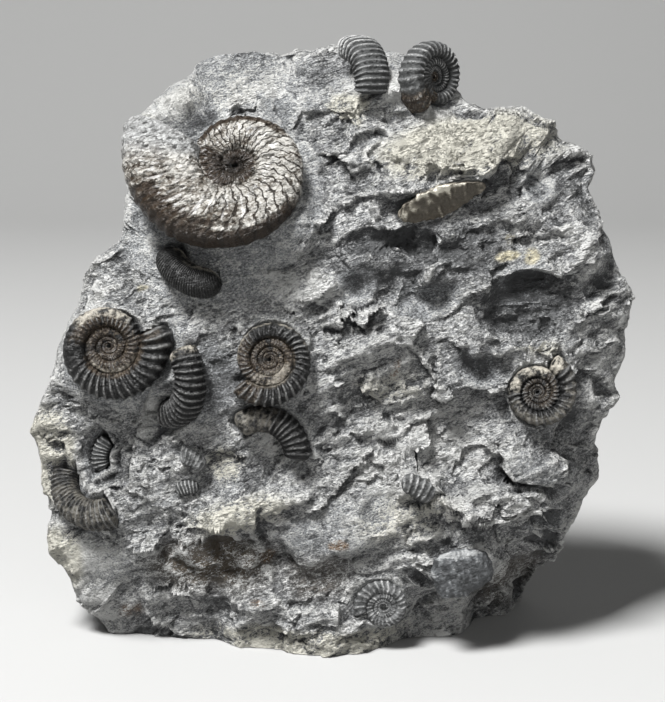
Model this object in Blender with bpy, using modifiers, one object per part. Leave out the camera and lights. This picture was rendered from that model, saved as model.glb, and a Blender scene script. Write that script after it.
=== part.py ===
"""Fossil ammonite cluster: a block of dark grey limestone with ammonites standing out of its face.

The block stands on its flat base at z = 0. Its fossil face looks towards -Y, +X is to the right of
somebody who looks at that face, and +Z is up. The tables are in millimetres, and every mesh is
scaled to metres when it is placed.
"""
import math

import bmesh
import bpy
from mathutils import Matrix, Vector, noise

MM = 0.001
HALF = Vector((0.5, 0.5, 0.5))

# Block
BLOCK_CENTRE_Z = 84.0
BLOCK_GRID_CUTS = 46
BLOCK_TRIANGLES = 2200
BLOCK_SQUARENESS = 4.0
RIM_DEPTH_SHARE = 0.4
FLOOR_BLEND_HEIGHT = 30.0

# Broken surface: chips that lean different ways, with rounded lumps over them
CHIP_SIZE = 21.0
CHIP_RELIEF = 1.5
CHIP_LEAN = 1.6
CHIP_MIDDLE = 0.55
CHIP_UNEVENNESS = 0.35
CHIP_STEP = 0.55
CHIP_CELL_SPREAD = 17.0
CHIP_HEIGHT_SPREAD = 5.1
LUMP_SIZE = 15.0
LUMP_RELIEF = 1.3
LUMP_OCTAVES = 2

# Outline of the block seen from the front, (x, z), clockwise from the notch under the large ammonite
OUTLINE = (
    (-58.6, 118), (-56.5, 125), (-53, 130), (-52, 138), (-53.5, 150), (-48.5, 154), (-42, 159), (-38, 160),
    (-36.5, 164.7), (-32.5, 166.3), (-22, 168), (-15, 166.5), (-11, 168), (-6, 166.5), (0, 168.3), (8, 167.5),
    (17.7, 167), (24, 165.5), (31, 162), (35.4, 157.7), (38.7, 155), (42.2, 152.4), (52.3, 151.9),
    (58.7, 149.3), (62.2, 148.7), (64.7, 144), (67.7, 143.5), (73, 139), (74.7, 133.5), (72.6, 129.5),
    (74.8, 124), (77.6, 117), (81.3, 106), (85.6, 99), (85, 93), (83.8, 84), (80.5, 75.5), (81.6, 70),
    (77.4, 64), (76.3, 59.5), (77.4, 53), (77.2, 47), (72, 41), (69.6, 35.3), (68, 26.7), (66.2, 20),
    (61.9, 15), (60, 4), (57, -15), (0, -15), (-61, -15), (-65, -2), (-69.5, 4.7), (-72.7, 9), (-76.2, 16.5),
    (-82.3, 24.5), (-82.5, 33.5), (-81.5, 42.7), (-84.2, 55), (-86.5, 60.5), (-84.8, 65.7), (-80.4, 75),
    (-76.8, 86.5), (-72.5, 97), (-69.3, 106), (-66.2, 110.5), (-61.4, 114),
)

# Depth of the face along its middle, (z, y): it stands upright below and leans back above
FACE_LINE = ((0, -31), (25, -31), (60, -29), (90, -28.5), (115, -26), (135, -20), (150, -13), (170, -2))
FACE_SIDE_FALL = 7.0
SIDE_REACH = 80.0
SIDE_FALL_POWER = 2.3
# Front edge of the base, (x, y)
BASE_LINE = ((-64, -20), (-35, -21), (-26, -29), (-10, -32), (5, -32), (15, -26), (22, -22), (37, -17),
             (44, -4), (50, 0), (60, 8))
# Depth of the back, (z, y)
BACK_LINE = ((0, 37), (45, 41), (90, 38), (130, 31), (170, 20))
BACK_SIDE_FALL = 9.0

# Relief of the face: x, z, half width, half height above and below, turn in degrees, rise, slope share.
# A negative rise is a hollow. A slope share of 1 is a rounded form, and a small one has steep sides.
RELIEF = {
    "upper_shelf": (34, 146, 46, 10, 12, 6, 5.5, 0.75),
    "shell_ledge": (28, 133, 26, 8, 6, 14, 7.5, 0.6),
    "cave_under_shell": (25, 116.5, 18, 6, 8, 4, -7.5, 0.7),
    "cave_deep": (10, 115, 7, 5, 5, 30, -5.0, 0.9),
    "oval_mould_left": (7, 105.5, 6.5, 6, 6.5, -20, -4.0, 0.8),
    "oval_mould_right": (25.5, 102, 12.5, 6.5, 6.5, 12, -5.0, 0.8),
    "striped_recess": (52.5, 100, 12, 10, 11, 0, -7.0, 0.45),
    "recess_lip": (52, 86.5, 14, 3, 4, 3, 2.5, 0.9),
    "right_lobe": (71, 112, 9, 16, 10, 20, 5.0, 0.9),
    "right_dish": (76, 101, 7, 4, 4, -25, -5.5, 0.7),
    "mould_with_knob": (39.5, 82.5, 9.5, 6, 6, -20, -4.5, 0.6),
    "knob": (39, 86, 3.5, 3, 3, 0, 3.5, 0.9),
    "mid_swell": (8, 84, 26, 12, 10, 15, 2.5, 0.9),
    "layered_ledge": (56, 53, 22, 16, 5, -24, 5.0, 0.6),
    "big_ledge": (47, 42, 21, 9, 4, -8, 7.0, 0.5),
    "under_ledge": (58, 28, 16, 6, 16, 0, -4.5, 0.8),
    "shell_bench": (36, 24, 12, 8, 6, 25, 5.0, 0.6),
    "diagonal_groove": (25, 21, 6, 2.5, 2.5, -40, -3.0, 0.9),
    "blue_flat": (14, 42, 8, 7, 7, 30, -2.0, 0.6),
    "fragment_rise": (23, 51, 6, 4.5, 4.5, 60, 2.0, 0.8),
    "centre_rise": (-22, 43, 26, 10, 7, 16, 3.0, 0.8),
    "crumbly_hollow": (-36, 28, 20, 9, 8, 5, -3.0, 0.8),
    "foot_swell": (-14, 12, 28, 7, 9, 3, 3.0, 0.9),
    "left_mould": (-66.5, 54, 6.5, 7.5, 6.5, 0, -4.0, 0.7),
    "left_pit": (-74, 64, 5, 2.2, 2.2, 0, -2.5, 0.9),
    "left_shoulder": (-63, 112, 8, 5, 4, 30, 3.0, 0.9),
    "perch_of_top_coils": (20, 158, 27, 11, 10, 0, 9.5, 0.9),
    "grey_facet": (-15, 152, 6, 5, 5, -30, -2.5, 0.6),
    "slope_rise": (-8, 120, 14, 20, 12, -50, 3.0, 0.9),
    "seat_of_large": (-28, 133, 27, 21, 25, 0, 6.5, 0.6),
    "seat_of_left": (-58, 87, 20, 17, 17, 0, 5.0, 0.6),
    "seat_of_upright": (-40, 79, 7, 13, 13, -10, 1.0, 0.7),
    "seat_of_right": (57, 75, 13, 13, 13, 0, 2.5, 0.5),
    "seat_of_low_left": (-67, 42, 15, 9, 11, 20, 1.5, 0.6),
}

# Coiled shells: the place of the coil's centre, how far it turns to the right, tilts up and leans
# clockwise, its sense of growth seen from the front (1 is anticlockwise), the direction of its end,
# the largest radius, the growth per turn, the ribbed arc, the number of ribs, the smooth inner arc,
# the height and width of the whorl as shares of its radius, and the height of a rib as a share of
# the whorl. The section has six points unless a row says otherwise, and a squareness under 0.8 makes
# its flanks flatter.
COILS = {
    "large_ammonite": dict(place=(-26.2, -23, 137.3), turn=0, tilt=32, sense=-1, end=166, radius=31.3,
                           growth=2.7, arc=396, ribs=30, inner=330, height=0.61, width=0.46, relief=0.04,
                           points=8, squareness=0.6),
    "left_ammonite": dict(place=(-61.1, -26, 88.3), turn=0, tilt=8, sense=1, end=22, radius=17.6,
                          growth=1.88, arc=372, ribs=31, inner=420, height=0.44, width=0.52, relief=0.12),
    "centre_ammonite": dict(place=(-17.1, -29.5, 85.4), turn=0, tilt=14, sense=-1, end=220, radius=13.6,
                            growth=1.65, arc=372, ribs=31, inner=400, height=0.37, width=0.52, relief=0.13),
    "top_ammonite": dict(place=(27.6, -9.5, 160.0), turn=42, tilt=4, sense=1, end=236, radius=12.2,
                         growth=1.75, arc=378, ribs=27, inner=330, height=0.40, width=0.70, relief=0.13),
    "right_ammonite": dict(place=(56.4, -25.5, 75.3), turn=0, tilt=14, sense=1, end=65, radius=11.8,
                           growth=1.72, arc=378, ribs=27, inner=330, height=0.40, width=0.58, relief=0.13),
    "smooth_whorl": dict(place=(-38.3, -23, 112.5), turn=-5, tilt=30, sense=1, end=320, radius=13.6,
                         growth=1.3, arc=148, ribs=9, inner=0, height=0.62, width=0.75, relief=0.0),
    "upright_whorl": dict(place=(-44.3, -23, 80.0), turn=-55, tilt=0, lean=13, sense=-1, end=-88, radius=15.2,
                          growth=1.5, arc=148, ribs=17, inner=0, height=0.55, width=0.60, relief=0.12),
    "curved_whorl": dict(place=(-20.3, -28.5, 58.9), turn=0, tilt=0, sense=-1, end=-10, radius=14.6,
                         growth=1.5, arc=138, ribs=13, inner=0, height=0.54, width=0.60, relief=0.12),
    "low_left_whorl": dict(place=(-66.0, -18, 48.3), turn=-15, tilt=35, sense=1, end=306, radius=15.4,
                           growth=1.4, arc=132, ribs=17, inner=0, height=0.56, width=0.60, relief=0.10),
    "top_whorl": dict(place=(6.8, -6.5, 158.5), turn=-62, tilt=0, lean=0, sense=1, end=104, radius=12.7,
                      growth=1.4, arc=118, ribs=13, inner=0, height=0.55, width=0.86, relief=0.12),
    "flat_ammonite": dict(place=(14.4, -26.9, 13.4), turn=0, tilt=4, sense=1, end=200, radius=8.8,
                          growth=1.7, arc=300, ribs=20, inner=300, height=0.40, width=0.34, relief=0.16,
                          points=5),
}
SECTION_POINTS = 6
SECTION_SQUARENESS = 0.8
INNER_STEPS_PER_TURN = 10
WELD_DISTANCE = 0.01
REPEAT_WELD_DISTANCE = 0.00001
SOCKET_GAP = 0.45
HULL_STEPS_PER_TURN = 12
TUBE_STEPS_PER_TURN = 18

# Loose shell plates: centre, half length, half height, half thickness, turn, tilt and lean
PLATES = {
    "pale_shell": dict(place=(29.5, -23.5, 128.2), half=(12.0, 4.6, 1.6), turn=4, tilt=-18, lean=-20),
    "grey_shell": dict(place=(36.4, -33.0, 25.2), half=(8.8, 6.6, 2.4), turn=8, tilt=6, lean=-12),
}
PLATE_SEGMENTS = 10
PLATE_RINGS = 6
PLATE_NARROWING = 0.35

FINISHES = {
    "limestone": ((0.185, 0.195, 0.205), 0.85),
    "dark_calcite": ((0.045, 0.045, 0.047), 0.38),
    "brown_calcite": ((0.125, 0.095, 0.075), 0.28),
    "grey_shell_rock": ((0.16, 0.165, 0.17), 0.6),
    "beige_shell": ((0.42, 0.36, 0.28), 0.6),
    "blue_grey_shell": ((0.17, 0.185, 0.20), 0.55),
}
FINISH_OF = {
    "matrix": "limestone",
    "large_ammonite": "brown_calcite",
    "top_whorl": "grey_shell_rock",
    "top_ammonite": "grey_shell_rock",
    "flat_ammonite": "grey_shell_rock",
    "pale_shell": "beige_shell",
    "grey_shell": "blue_grey_shell",
}


def clear_scene():
    """Removes the objects of the start-up scene."""
    for item in list(bpy.data.objects):
        bpy.data.objects.remove(item, do_unlink=True)


def new_collection(name):
    """Makes a collection under the scene's own."""
    group = bpy.data.collections.new(name)
    bpy.context.scene.collection.children.link(group)
    return group


def finish_material(name):
    """Gives the named finish as a Principled BSDF material, made once."""
    if name in bpy.data.materials:
        return bpy.data.materials[name]
    colour, roughness = FINISHES[name]
    material = bpy.data.materials.new(name)
    material.use_nodes = True
    shader = material.node_tree.nodes["Principled BSDF"]
    shader.inputs["Base Color"].default_value = (*colour, 1.0)
    shader.inputs["Roughness"].default_value = roughness
    shader.inputs["Metallic"].default_value = 0.0
    return material


def smooth_step(value):
    """Rises smoothly from 0 to 1 as the value does."""
    value = min(1.0, max(0.0, value))
    return value * value * (3.0 - 2.0 * value)


def along(line, position):
    """Reads a list of (position, value) points, with smooth stretches between them."""
    if position <= line[0][0]:
        return line[0][1]
    for (start, low), (end, high) in zip(line, line[1:]):
        if position <= end:
            return low + (high - low) * smooth_step((position - start) / (end - start))
    return line[-1][1]


def evaluated_mesh(item):
    """Gives the mesh of an object with its modifiers applied."""
    graph = bpy.context.evaluated_depsgraph_get()
    return bpy.data.meshes.new_from_object(item.evaluated_get(graph))


def polar_outline():
    """Gives the outline as sorted (angle, radius) pairs about the block's centre."""
    points = []
    for x, z in OUTLINE:
        points.append((math.atan2(z - BLOCK_CENTRE_Z, x), math.hypot(x, z - BLOCK_CENTRE_Z)))
    points.sort()
    first, last = points[0], points[-1]
    return [(last[0] - math.tau, last[1])] + points + [(first[0] + math.tau, first[1])]


def outline_reach(polar, angle):
    """Gives the distance from the block's centre to its outline in one direction."""
    for (start, near), (end, far) in zip(polar, polar[1:]):
        if start <= angle <= end:
            chord = near * far * math.sin(end - start)
            return chord / (near * math.sin(angle - start) + far * math.sin(end - angle))
    return polar[0][1]


def relief_at(x, z):
    """Gives how far the hand-set forms bring the face forward at one place."""
    total = 0.0
    for form_x, form_z, half_width, above, below, turn, rise, slope in RELIEF.values():
        angle = math.radians(turn)
        across = (x - form_x) * math.cos(angle) + (z - form_z) * math.sin(angle)
        up = (z - form_z) * math.cos(angle) - (x - form_x) * math.sin(angle)
        reach = math.hypot(across / half_width, up / (above if up > 0 else below))
        total += rise * smooth_step((1.0 - reach) / slope)
    return total


def face_depth(x, z):
    """Gives the y of the fossil face at one place."""
    fall = FACE_SIDE_FALL * (abs(x) / SIDE_REACH) ** SIDE_FALL_POWER
    upright = along(FACE_LINE, z) + fall - relief_at(x, z)
    return along(BASE_LINE, x) + (upright - along(BASE_LINE, x)) * smooth_step(z / FLOOR_BLEND_HEIGHT)


def back_depth(x, z):
    """Gives the y of the broken back at one place."""
    return along(BACK_LINE, z) - BACK_SIDE_FALL * (abs(x) / SIDE_REACH) ** SIDE_FALL_POWER


def depth_share(depth):
    """Gives how far from the face to the back a depth lies, from -1 at the face through 0 at the rim to 1."""
    if depth < 0:
        return RIM_DEPTH_SHARE * (1.0 + depth)
    return RIM_DEPTH_SHARE + (1.0 - RIM_DEPTH_SHARE) * depth


def block_point(polar, corner):
    """Carries a point of the two-unit cube to the block's surface."""
    flat = max(abs(corner.x), abs(corner.z))
    power = BLOCK_SQUARENESS
    swell = (flat ** power + abs(corner.y) ** power) ** (1.0 / power)
    share, depth = flat / swell, corner.y / swell
    angle = math.atan2(corner.z, corner.x)
    reach = outline_reach(polar, angle) * share
    x, z = reach * math.cos(angle), BLOCK_CENTRE_Z + reach * math.sin(angle)
    front, back = face_depth(x, z), back_depth(x, z)
    return Vector((x, front + (back - front) * depth_share(depth), z))


def chipped(point, size):
    """Gives the height of a broken surface: flat chips that lean different ways, from -1 to 1."""
    distances, centres = noise.voronoi(point / size)
    lowest = 1.0
    for distance, centre in zip(distances, centres):
        lean = noise.cell_vector(centre * CHIP_CELL_SPREAD) - HALF
        height = CHIP_MIDDLE + CHIP_LEAN * lean.dot(point / size - centre)
        height += CHIP_UNEVENNESS * noise.noise(centre * CHIP_HEIGHT_SPREAD)
        lowest = min(lowest, height + CHIP_STEP * (distance - distances[0]))
    return 2.0 * lowest - 1.0


def roughen(mesh):
    """Moves a rock's points along their normals by chips and lumps."""
    for vertex in mesh.verts:
        point = vertex.co
        chips = chipped(point, CHIP_SIZE) * CHIP_RELIEF
        lumps = noise.fractal(point / LUMP_SIZE, 1.0, 2.0, LUMP_OCTAVES) * LUMP_RELIEF
        vertex.co = point + vertex.normal * (chips + lumps)


def cut_base_flat(mesh):
    """Cuts a mesh off at z = 0 and closes it with one flat face."""
    geometry = mesh.verts[:] + mesh.edges[:] + mesh.faces[:]
    cut = bmesh.ops.bisect_plane(mesh, geom=geometry, plane_co=(0, 0, 0), plane_no=(0, 0, -1),
                                 clear_outer=True)
    rim = [part for part in cut["geom_cut"] if isinstance(part, bmesh.types.BMEdge)]
    bmesh.ops.contextual_create(mesh, geom=rim)


def make_block(group):
    """Makes the limestone block without its sockets."""
    polar = polar_outline()
    mesh = bmesh.new()
    bmesh.ops.create_cube(mesh, size=2.0)
    bmesh.ops.subdivide_edges(mesh, edges=mesh.edges[:], cuts=BLOCK_GRID_CUTS, use_grid_fill=True)
    for vertex in mesh.verts:
        vertex.co = block_point(polar, vertex.co)
    mesh.normal_update()
    roughen(mesh)
    fine_triangles = 2 * len(mesh.faces)
    data = bpy.data.meshes.new("matrix_fine")
    mesh.to_mesh(data)
    mesh.free()
    fine = bpy.data.objects.new("matrix_fine", data)
    group.objects.link(fine)
    thinning = fine.modifiers.new("thinning", "DECIMATE")
    thinning.ratio = BLOCK_TRIANGLES / fine_triangles
    coarse = evaluated_mesh(fine)
    bpy.data.objects.remove(fine)
    mesh = bmesh.new()
    mesh.from_mesh(coarse)
    cut_base_flat(mesh)
    bmesh.ops.scale(mesh, vec=(MM, MM, MM), verts=mesh.verts)
    mesh.to_mesh(coarse)
    mesh.free()
    block = bpy.data.objects.new("matrix", coarse)
    group.objects.link(block)
    return block


def whorl_ring(mesh, coil, margin):
    """Adds the section of a whorl at the coil's end, across the X axis, and gives its points."""
    height = coil["radius"] * coil["height"]
    width = coil["radius"] * coil["width"]
    squareness = coil.get("squareness", SECTION_SQUARENESS)
    ring = bmesh.ops.create_circle(mesh, segments=coil.get("points", SECTION_POINTS), radius=1.0)["verts"]
    middle = coil["radius"] - height / 2
    for point in ring:
        angle = math.atan2(point.co.y, point.co.x)
        out = math.copysign(abs(math.cos(angle)) ** squareness, math.cos(angle))
        side = math.copysign(abs(math.sin(angle)) ** squareness, math.sin(angle))
        point.co = Vector((middle + out * (height / 2 + margin), 0.0, side * (width / 2 + margin)))
    return ring


def extruded_ring(mesh, ring_edges, transform):
    """Extrudes a ring of edges, moves the new ring, and gives its edges."""
    made = bmesh.ops.extrude_edge_only(mesh, edges=ring_edges)["geom"]
    points = [part for part in made if isinstance(part, bmesh.types.BMVert)]
    bmesh.ops.transform(mesh, matrix=transform, verts=points)
    return [part for part in made if isinstance(part, bmesh.types.BMEdge)
            and all(point in points for point in part.verts)]


def spiral_step(angle, growth, sense):
    """Gives the turn and shrink that carry a section back along the coil by an angle in degrees."""
    shrink = growth ** (-angle / 360.0)
    return Matrix.Rotation(math.radians(-sense * angle), 4, "Z") @ Matrix.Scale(shrink, 4)


def rib_swell(coil, angle):
    """Gives the swelling of a rib, away from the inner side of the whorl."""
    inner = Matrix.Translation((coil["radius"] * (1.0 - coil["height"]), 0, 0))
    swell = Matrix.Diagonal((1.0 + coil["relief"], 1.0, 1.0 + coil["relief"], 1.0))
    along_coil = spiral_step(angle, coil["growth"], coil["sense"])
    return along_coil @ inner @ swell @ inner.inverted() @ along_coil.inverted()


def repeated(mesh, step, count):
    """Repeats one stretch of whorl along its spiral and gives the joined mesh."""
    data = bpy.data.meshes.new("stretch")
    mesh.to_mesh(data)
    mesh.free()
    stretch = bpy.data.objects.new("stretch", data)
    guide = bpy.data.objects.new("stretch_step", None)
    guide.matrix_world = step
    for item in (stretch, guide):
        bpy.context.scene.collection.objects.link(item)
    row = stretch.modifiers.new("row", "ARRAY")
    row.count = count
    row.use_relative_offset = False
    row.use_object_offset = True
    row.offset_object = guide
    row.use_merge_vertices = True
    row.merge_threshold = REPEAT_WELD_DISTANCE
    bpy.context.view_layer.update()
    joined = evaluated_mesh(stretch)
    for item in (stretch, guide):
        bpy.data.objects.remove(item)
    return joined


def ribbed_stretch(coil):
    """Makes the outer, ribbed arc of a coil: one rib, repeated."""
    pitch = coil["arc"] / coil["ribs"]
    mesh = bmesh.new()
    whorl_ring(mesh, coil, 0.0)
    half = spiral_step(pitch / 2, coil["growth"], coil["sense"])
    swell = rib_swell(coil, pitch / 2)
    edges = extruded_ring(mesh, mesh.edges[:], swell @ half)
    extruded_ring(mesh, edges, half @ swell.inverted())
    return repeated(mesh, half @ half, coil["ribs"])


def smooth_stretch(coil, start, arc, steps_per_turn, margin):
    """Makes a plain arc of a coil, with a margin round its section."""
    count = max(2, round(arc * steps_per_turn / 360.0))
    step = spiral_step(arc / count, coil["growth"], coil["sense"])
    mesh = bmesh.new()
    whorl_ring(mesh, coil, margin)
    extruded_ring(mesh, mesh.edges[:], step)
    bmesh.ops.transform(mesh, matrix=spiral_step(start, coil["growth"], coil["sense"]), verts=mesh.verts)
    about_start = spiral_step(start, coil["growth"], coil["sense"])
    return repeated(mesh, about_start @ step @ about_start.inverted(), count)


def closed_coil(stretches):
    """Joins stretches of whorl end to end and closes both ends of the tube."""
    mesh = bmesh.new()
    for stretch in stretches:
        mesh.from_mesh(stretch)
    bmesh.ops.remove_doubles(mesh, verts=mesh.verts, dist=WELD_DISTANCE)
    ends = [edge for edge in mesh.edges if edge.is_boundary]
    bmesh.ops.holes_fill(mesh, edges=ends, sides=0)
    bmesh.ops.recalc_face_normals(mesh, faces=mesh.faces)
    return mesh


def placed(name, mesh, spec, group):
    """Turns a finished millimetre mesh into an object that stands where its table row says."""
    bmesh.ops.scale(mesh, vec=(MM, MM, MM), verts=mesh.verts)
    data = bpy.data.meshes.new(name)
    mesh.to_mesh(data)
    mesh.free()
    item = bpy.data.objects.new(name, data)
    item.location = Vector(spec["place"]) * MM
    item.rotation_euler = (math.radians(90 - spec["tilt"]), math.radians(spec.get("lean", 0)),
                           math.radians(spec["turn"]))
    group.objects.link(item)
    return item


def turned_to_end(mesh, coil):
    """Turns a coil about its own axis until its end points where the table says."""
    bmesh.ops.rotate(mesh, verts=mesh.verts, matrix=Matrix.Rotation(math.radians(coil["end"]), 3, "Z"))
    return mesh


def make_coil(name, coil, group):
    """Makes one coiled shell."""
    stretches = [ribbed_stretch(coil)]
    if coil["inner"]:
        stretches.append(smooth_stretch(coil, coil["arc"], coil["inner"], INNER_STEPS_PER_TURN, 0.0))
    return placed(name, turned_to_end(closed_coil(stretches), coil), coil, group)


def make_coil_socket(name, coil, group):
    """Makes the hollow that a coil sits in: a hull for a whole coil, a plain tube for a part of one."""
    steps = HULL_STEPS_PER_TURN if coil["inner"] else TUBE_STEPS_PER_TURN
    bow = coil["radius"] * (1.0 / math.cos(math.pi / steps) - 1.0)
    margin = SOCKET_GAP + bow + coil["relief"] * coil["height"] * coil["radius"]
    mesh = closed_coil([smooth_stretch(coil, 0.0, coil["arc"], steps, margin)])
    if coil["inner"]:
        bmesh.ops.delete(mesh, geom=mesh.edges[:] + mesh.faces[:], context="EDGES_FACES")
        bmesh.ops.convex_hull(mesh, input=mesh.verts)
        inside = [point for point in mesh.verts if not point.link_faces]
        bmesh.ops.delete(mesh, geom=inside, context="VERTS")
        bmesh.ops.recalc_face_normals(mesh, faces=mesh.faces)
    return placed(name + "_socket", turned_to_end(mesh, coil), coil, group)


def make_plate(name, plate, margin, group):
    """Makes one shell plate, a flattened rounded form."""
    mesh = bmesh.new()
    bmesh.ops.create_uvsphere(mesh, u_segments=PLATE_SEGMENTS, v_segments=PLATE_RINGS, radius=1.0)
    half_length, half_height, half_thickness = plate["half"]
    for point in mesh.verts:
        x, y, z = point.co
        squeeze = 1.0 - PLATE_NARROWING * max(0.0, x)
        point.co = Vector((x * (half_length + margin), y * squeeze * (half_height + margin),
                           z * (half_thickness + margin)))
    return placed(name, mesh, plate, group)


def cut_socket(block, cutter):
    """Cuts one socket out of the block."""
    cutter.hide_render = True
    cutter.display_type = "WIRE"
    cut = block.modifiers.new(cutter.name, "BOOLEAN")
    cut.operation = "DIFFERENCE"
    cut.object = cutter


def main():
    """Builds the block and its fossils."""
    clear_scene()
    parts = new_collection("fossil_ammonite_cluster")
    cutters = new_collection("sockets")
    block = make_block(parts)
    pieces = {"matrix": block}
    for name, coil in COILS.items():
        pieces[name] = make_coil(name, coil, parts)
        cut_socket(block, make_coil_socket(name, coil, cutters))
    for name, plate in PLATES.items():
        pieces[name] = make_plate(name, plate, 0.0, parts)
        cut_socket(block, make_plate(name + "_socket", plate, SOCKET_GAP, cutters))
    for name, piece in pieces.items():
        piece.data.materials.clear()
        piece.data.materials.append(finish_material(FINISH_OF.get(name, "dark_calcite")))
        piece.data.shade_flat()


main()
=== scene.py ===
"""Looks of the fossil ammonite cluster.

A block of dark grey limestone stands on its flat base, and ammonites stand out of its cleaned face.
The tables are in millimetres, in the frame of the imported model: the face looks towards -Y, +X is to
the right of somebody who looks at it, and +Z is up. Every mesh is turned into metres at its end.
"""

import logging
import math
from collections.abc import Callable
from dataclasses import dataclass, field
from enum import Enum

import bmesh
import bpy
import numpy as np
from mathutils import Euler, Matrix, Vector, noise

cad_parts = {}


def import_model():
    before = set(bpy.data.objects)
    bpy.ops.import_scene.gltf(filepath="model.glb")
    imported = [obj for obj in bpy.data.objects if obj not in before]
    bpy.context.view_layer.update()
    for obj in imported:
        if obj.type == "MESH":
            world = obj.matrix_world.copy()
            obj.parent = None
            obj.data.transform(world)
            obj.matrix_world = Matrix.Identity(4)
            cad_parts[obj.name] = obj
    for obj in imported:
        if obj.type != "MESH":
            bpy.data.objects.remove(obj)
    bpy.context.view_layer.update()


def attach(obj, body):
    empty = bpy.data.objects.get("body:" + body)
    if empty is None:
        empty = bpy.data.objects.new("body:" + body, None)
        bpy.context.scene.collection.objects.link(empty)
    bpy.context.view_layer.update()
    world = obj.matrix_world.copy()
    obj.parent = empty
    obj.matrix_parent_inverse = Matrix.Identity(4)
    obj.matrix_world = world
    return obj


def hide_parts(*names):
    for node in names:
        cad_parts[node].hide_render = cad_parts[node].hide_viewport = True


LOG = logging.getLogger("fossil_cluster")
MM = 0.001
MIDDLE = (0.5, 0.5, 0.5)
BED_SLOPE = 20.0
Line = tuple[tuple[float, float], ...]
Colour = tuple[float, float, float]
Place = tuple[float, float, float]
Size = tuple[float, float, float]


def smooth_step(value: np.ndarray) -> np.ndarray:
    """Rises smoothly from 0 to 1 as the value does.

    Args:
        value: Any numbers.

    Returns:
        Numbers from 0 to 1.
    """
    value = np.clip(value, 0.0, 1.0)
    return value * value * (3.0 - 2.0 * value)


def along(line: Line, position: np.ndarray) -> np.ndarray:
    """Reads a line of (position, value) points, with smooth stretches between them.

    Args:
        line: The points, in order.
        position: Where to read it.

    Returns:
        The values there.
    """
    places, values = np.array(line, float).T
    left = np.clip(np.searchsorted(places, position) - 1, 0, len(places) - 2)
    share = (position - places[left]) / (places[left + 1] - places[left])
    return values[left] + (values[left + 1] - values[left]) * smooth_step(share)


def turned(x: np.ndarray, z: np.ndarray, degrees: float) -> tuple[np.ndarray, np.ndarray]:
    """Gives places across and up along axes that are turned in the face.

    Args:
        x: Distances along X from the turning point.
        z: Distances along Z from it.
        degrees: How far the axes are turned.

    Returns:
        The distances across, and the distances up.
    """
    cosine, sine = math.cos(math.radians(degrees)), math.sin(math.radians(degrees))
    return x * cosine + z * sine, z * cosine - x * sine


def frame_at(place: Place, tilt: float, lean: float, turn: float) -> Matrix:
    """Gives the matrix that carries a fossil's own plane to its place, in millimetres."""
    facing = Euler((math.radians(90 - tilt), math.radians(lean), math.radians(turn)))
    return Matrix.Translation(place) @ facing.to_matrix().to_4x4()


def carried(points: np.ndarray, frame: Matrix) -> np.ndarray:
    """Carries rows of three by a matrix.

    Args:
        points: The rows.
        frame: The matrix.

    Returns:
        The rows in their new place.
    """
    rows = np.array(frame)
    return points @ rows[:3, :3].T + rows[:3, 3]


def deselect_all() -> None:
    """Leaves nothing selected, so that an operator acts on the new piece alone."""
    bpy.ops.object.select_all(action="DESELECT")


def cut_edges(piece: bpy.types.Object, wanted: Callable[[bmesh.types.BMEdge], bool], cuts: int) -> None:
    """Subdivides some edges of a piece that is in edit mode.

    Args:
        piece: The piece.
        wanted: Says whether an edge is one of them.
        cuts: The cuts across each of them.
    """
    mesh = bmesh.from_edit_mesh(piece.data)
    for edge in mesh.edges:
        edge.select_set(wanted(edge))
    mesh.select_flush_mode()
    bmesh.update_edit_mesh(piece.data)
    bpy.ops.mesh.subdivide(number_cuts=cuts)


def read_points(mesh: bpy.types.Mesh) -> np.ndarray:
    """Gives the points of a mesh as rows of three."""
    points = np.empty(len(mesh.vertices) * 3)
    mesh.vertices.foreach_get("co", points)
    return points.reshape(-1, 3)


def write_points(mesh: bpy.types.Mesh, points: np.ndarray) -> None:
    """Puts rows of three back as the points of a mesh.

    Args:
        mesh: The mesh.
        points: One row a point.
    """
    mesh.vertices.foreach_set("co", points.ravel())
    mesh.update()


def read_normals(mesh: bpy.types.Mesh) -> np.ndarray:
    """Gives the point normals of a mesh as rows of three."""
    normals = np.empty(len(mesh.vertices) * 3)
    mesh.vertex_normals.foreach_get("vector", normals)
    return normals.reshape(-1, 3)


def write_mask(mesh: bpy.types.Mesh, name: str, values: np.ndarray) -> None:
    """Stores one number for each point, for the materials to read.

    Args:
        mesh: The mesh.
        name: The attribute's name.
        values: One number a point.
    """
    layer = mesh.attributes.get(name) or mesh.attributes.new(name, "FLOAT", "POINT")
    layer.data.foreach_set("value", values.astype(np.float32))


def edge_pairs(mesh: bpy.types.Mesh) -> np.ndarray:
    """Gives the two point numbers of every edge."""
    pairs = np.empty(len(mesh.edges) * 2, np.int64)
    mesh.edges.foreach_get("vertices", pairs)
    return pairs.reshape(-1, 2)


def blurred(values: np.ndarray, pairs: np.ndarray, passes: int) -> np.ndarray:
    """Averages numbers with their neighbours' along the edges.

    Args:
        values: One number a point.
        pairs: The edges.
        passes: How many times.

    Returns:
        The smoothed numbers.
    """
    count = np.bincount(pairs.ravel(), minlength=len(values)) + 1.0
    for _ in range(passes):
        total = values.copy()
        total += np.bincount(pairs[:, 0], values[pairs[:, 1]], len(values))
        total += np.bincount(pairs[:, 1], values[pairs[:, 0]], len(values))
        values = total / count
    return values


def fractal(points: np.ndarray, size: Size, octaves: int) -> np.ndarray:
    """Gives layered noise for rows of points.

    Args:
        points: Rows of three, in millimetres.
        size: The largest grain's length along X, Y and Z.
        octaves: How many layers, each with half the grain of the one before.

    Returns:
        About -1 to 1 for each point.
    """
    return np.array([noise.fractal(row, 1.0, 2.0, octaves) for row in points / np.array(size)])


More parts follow.
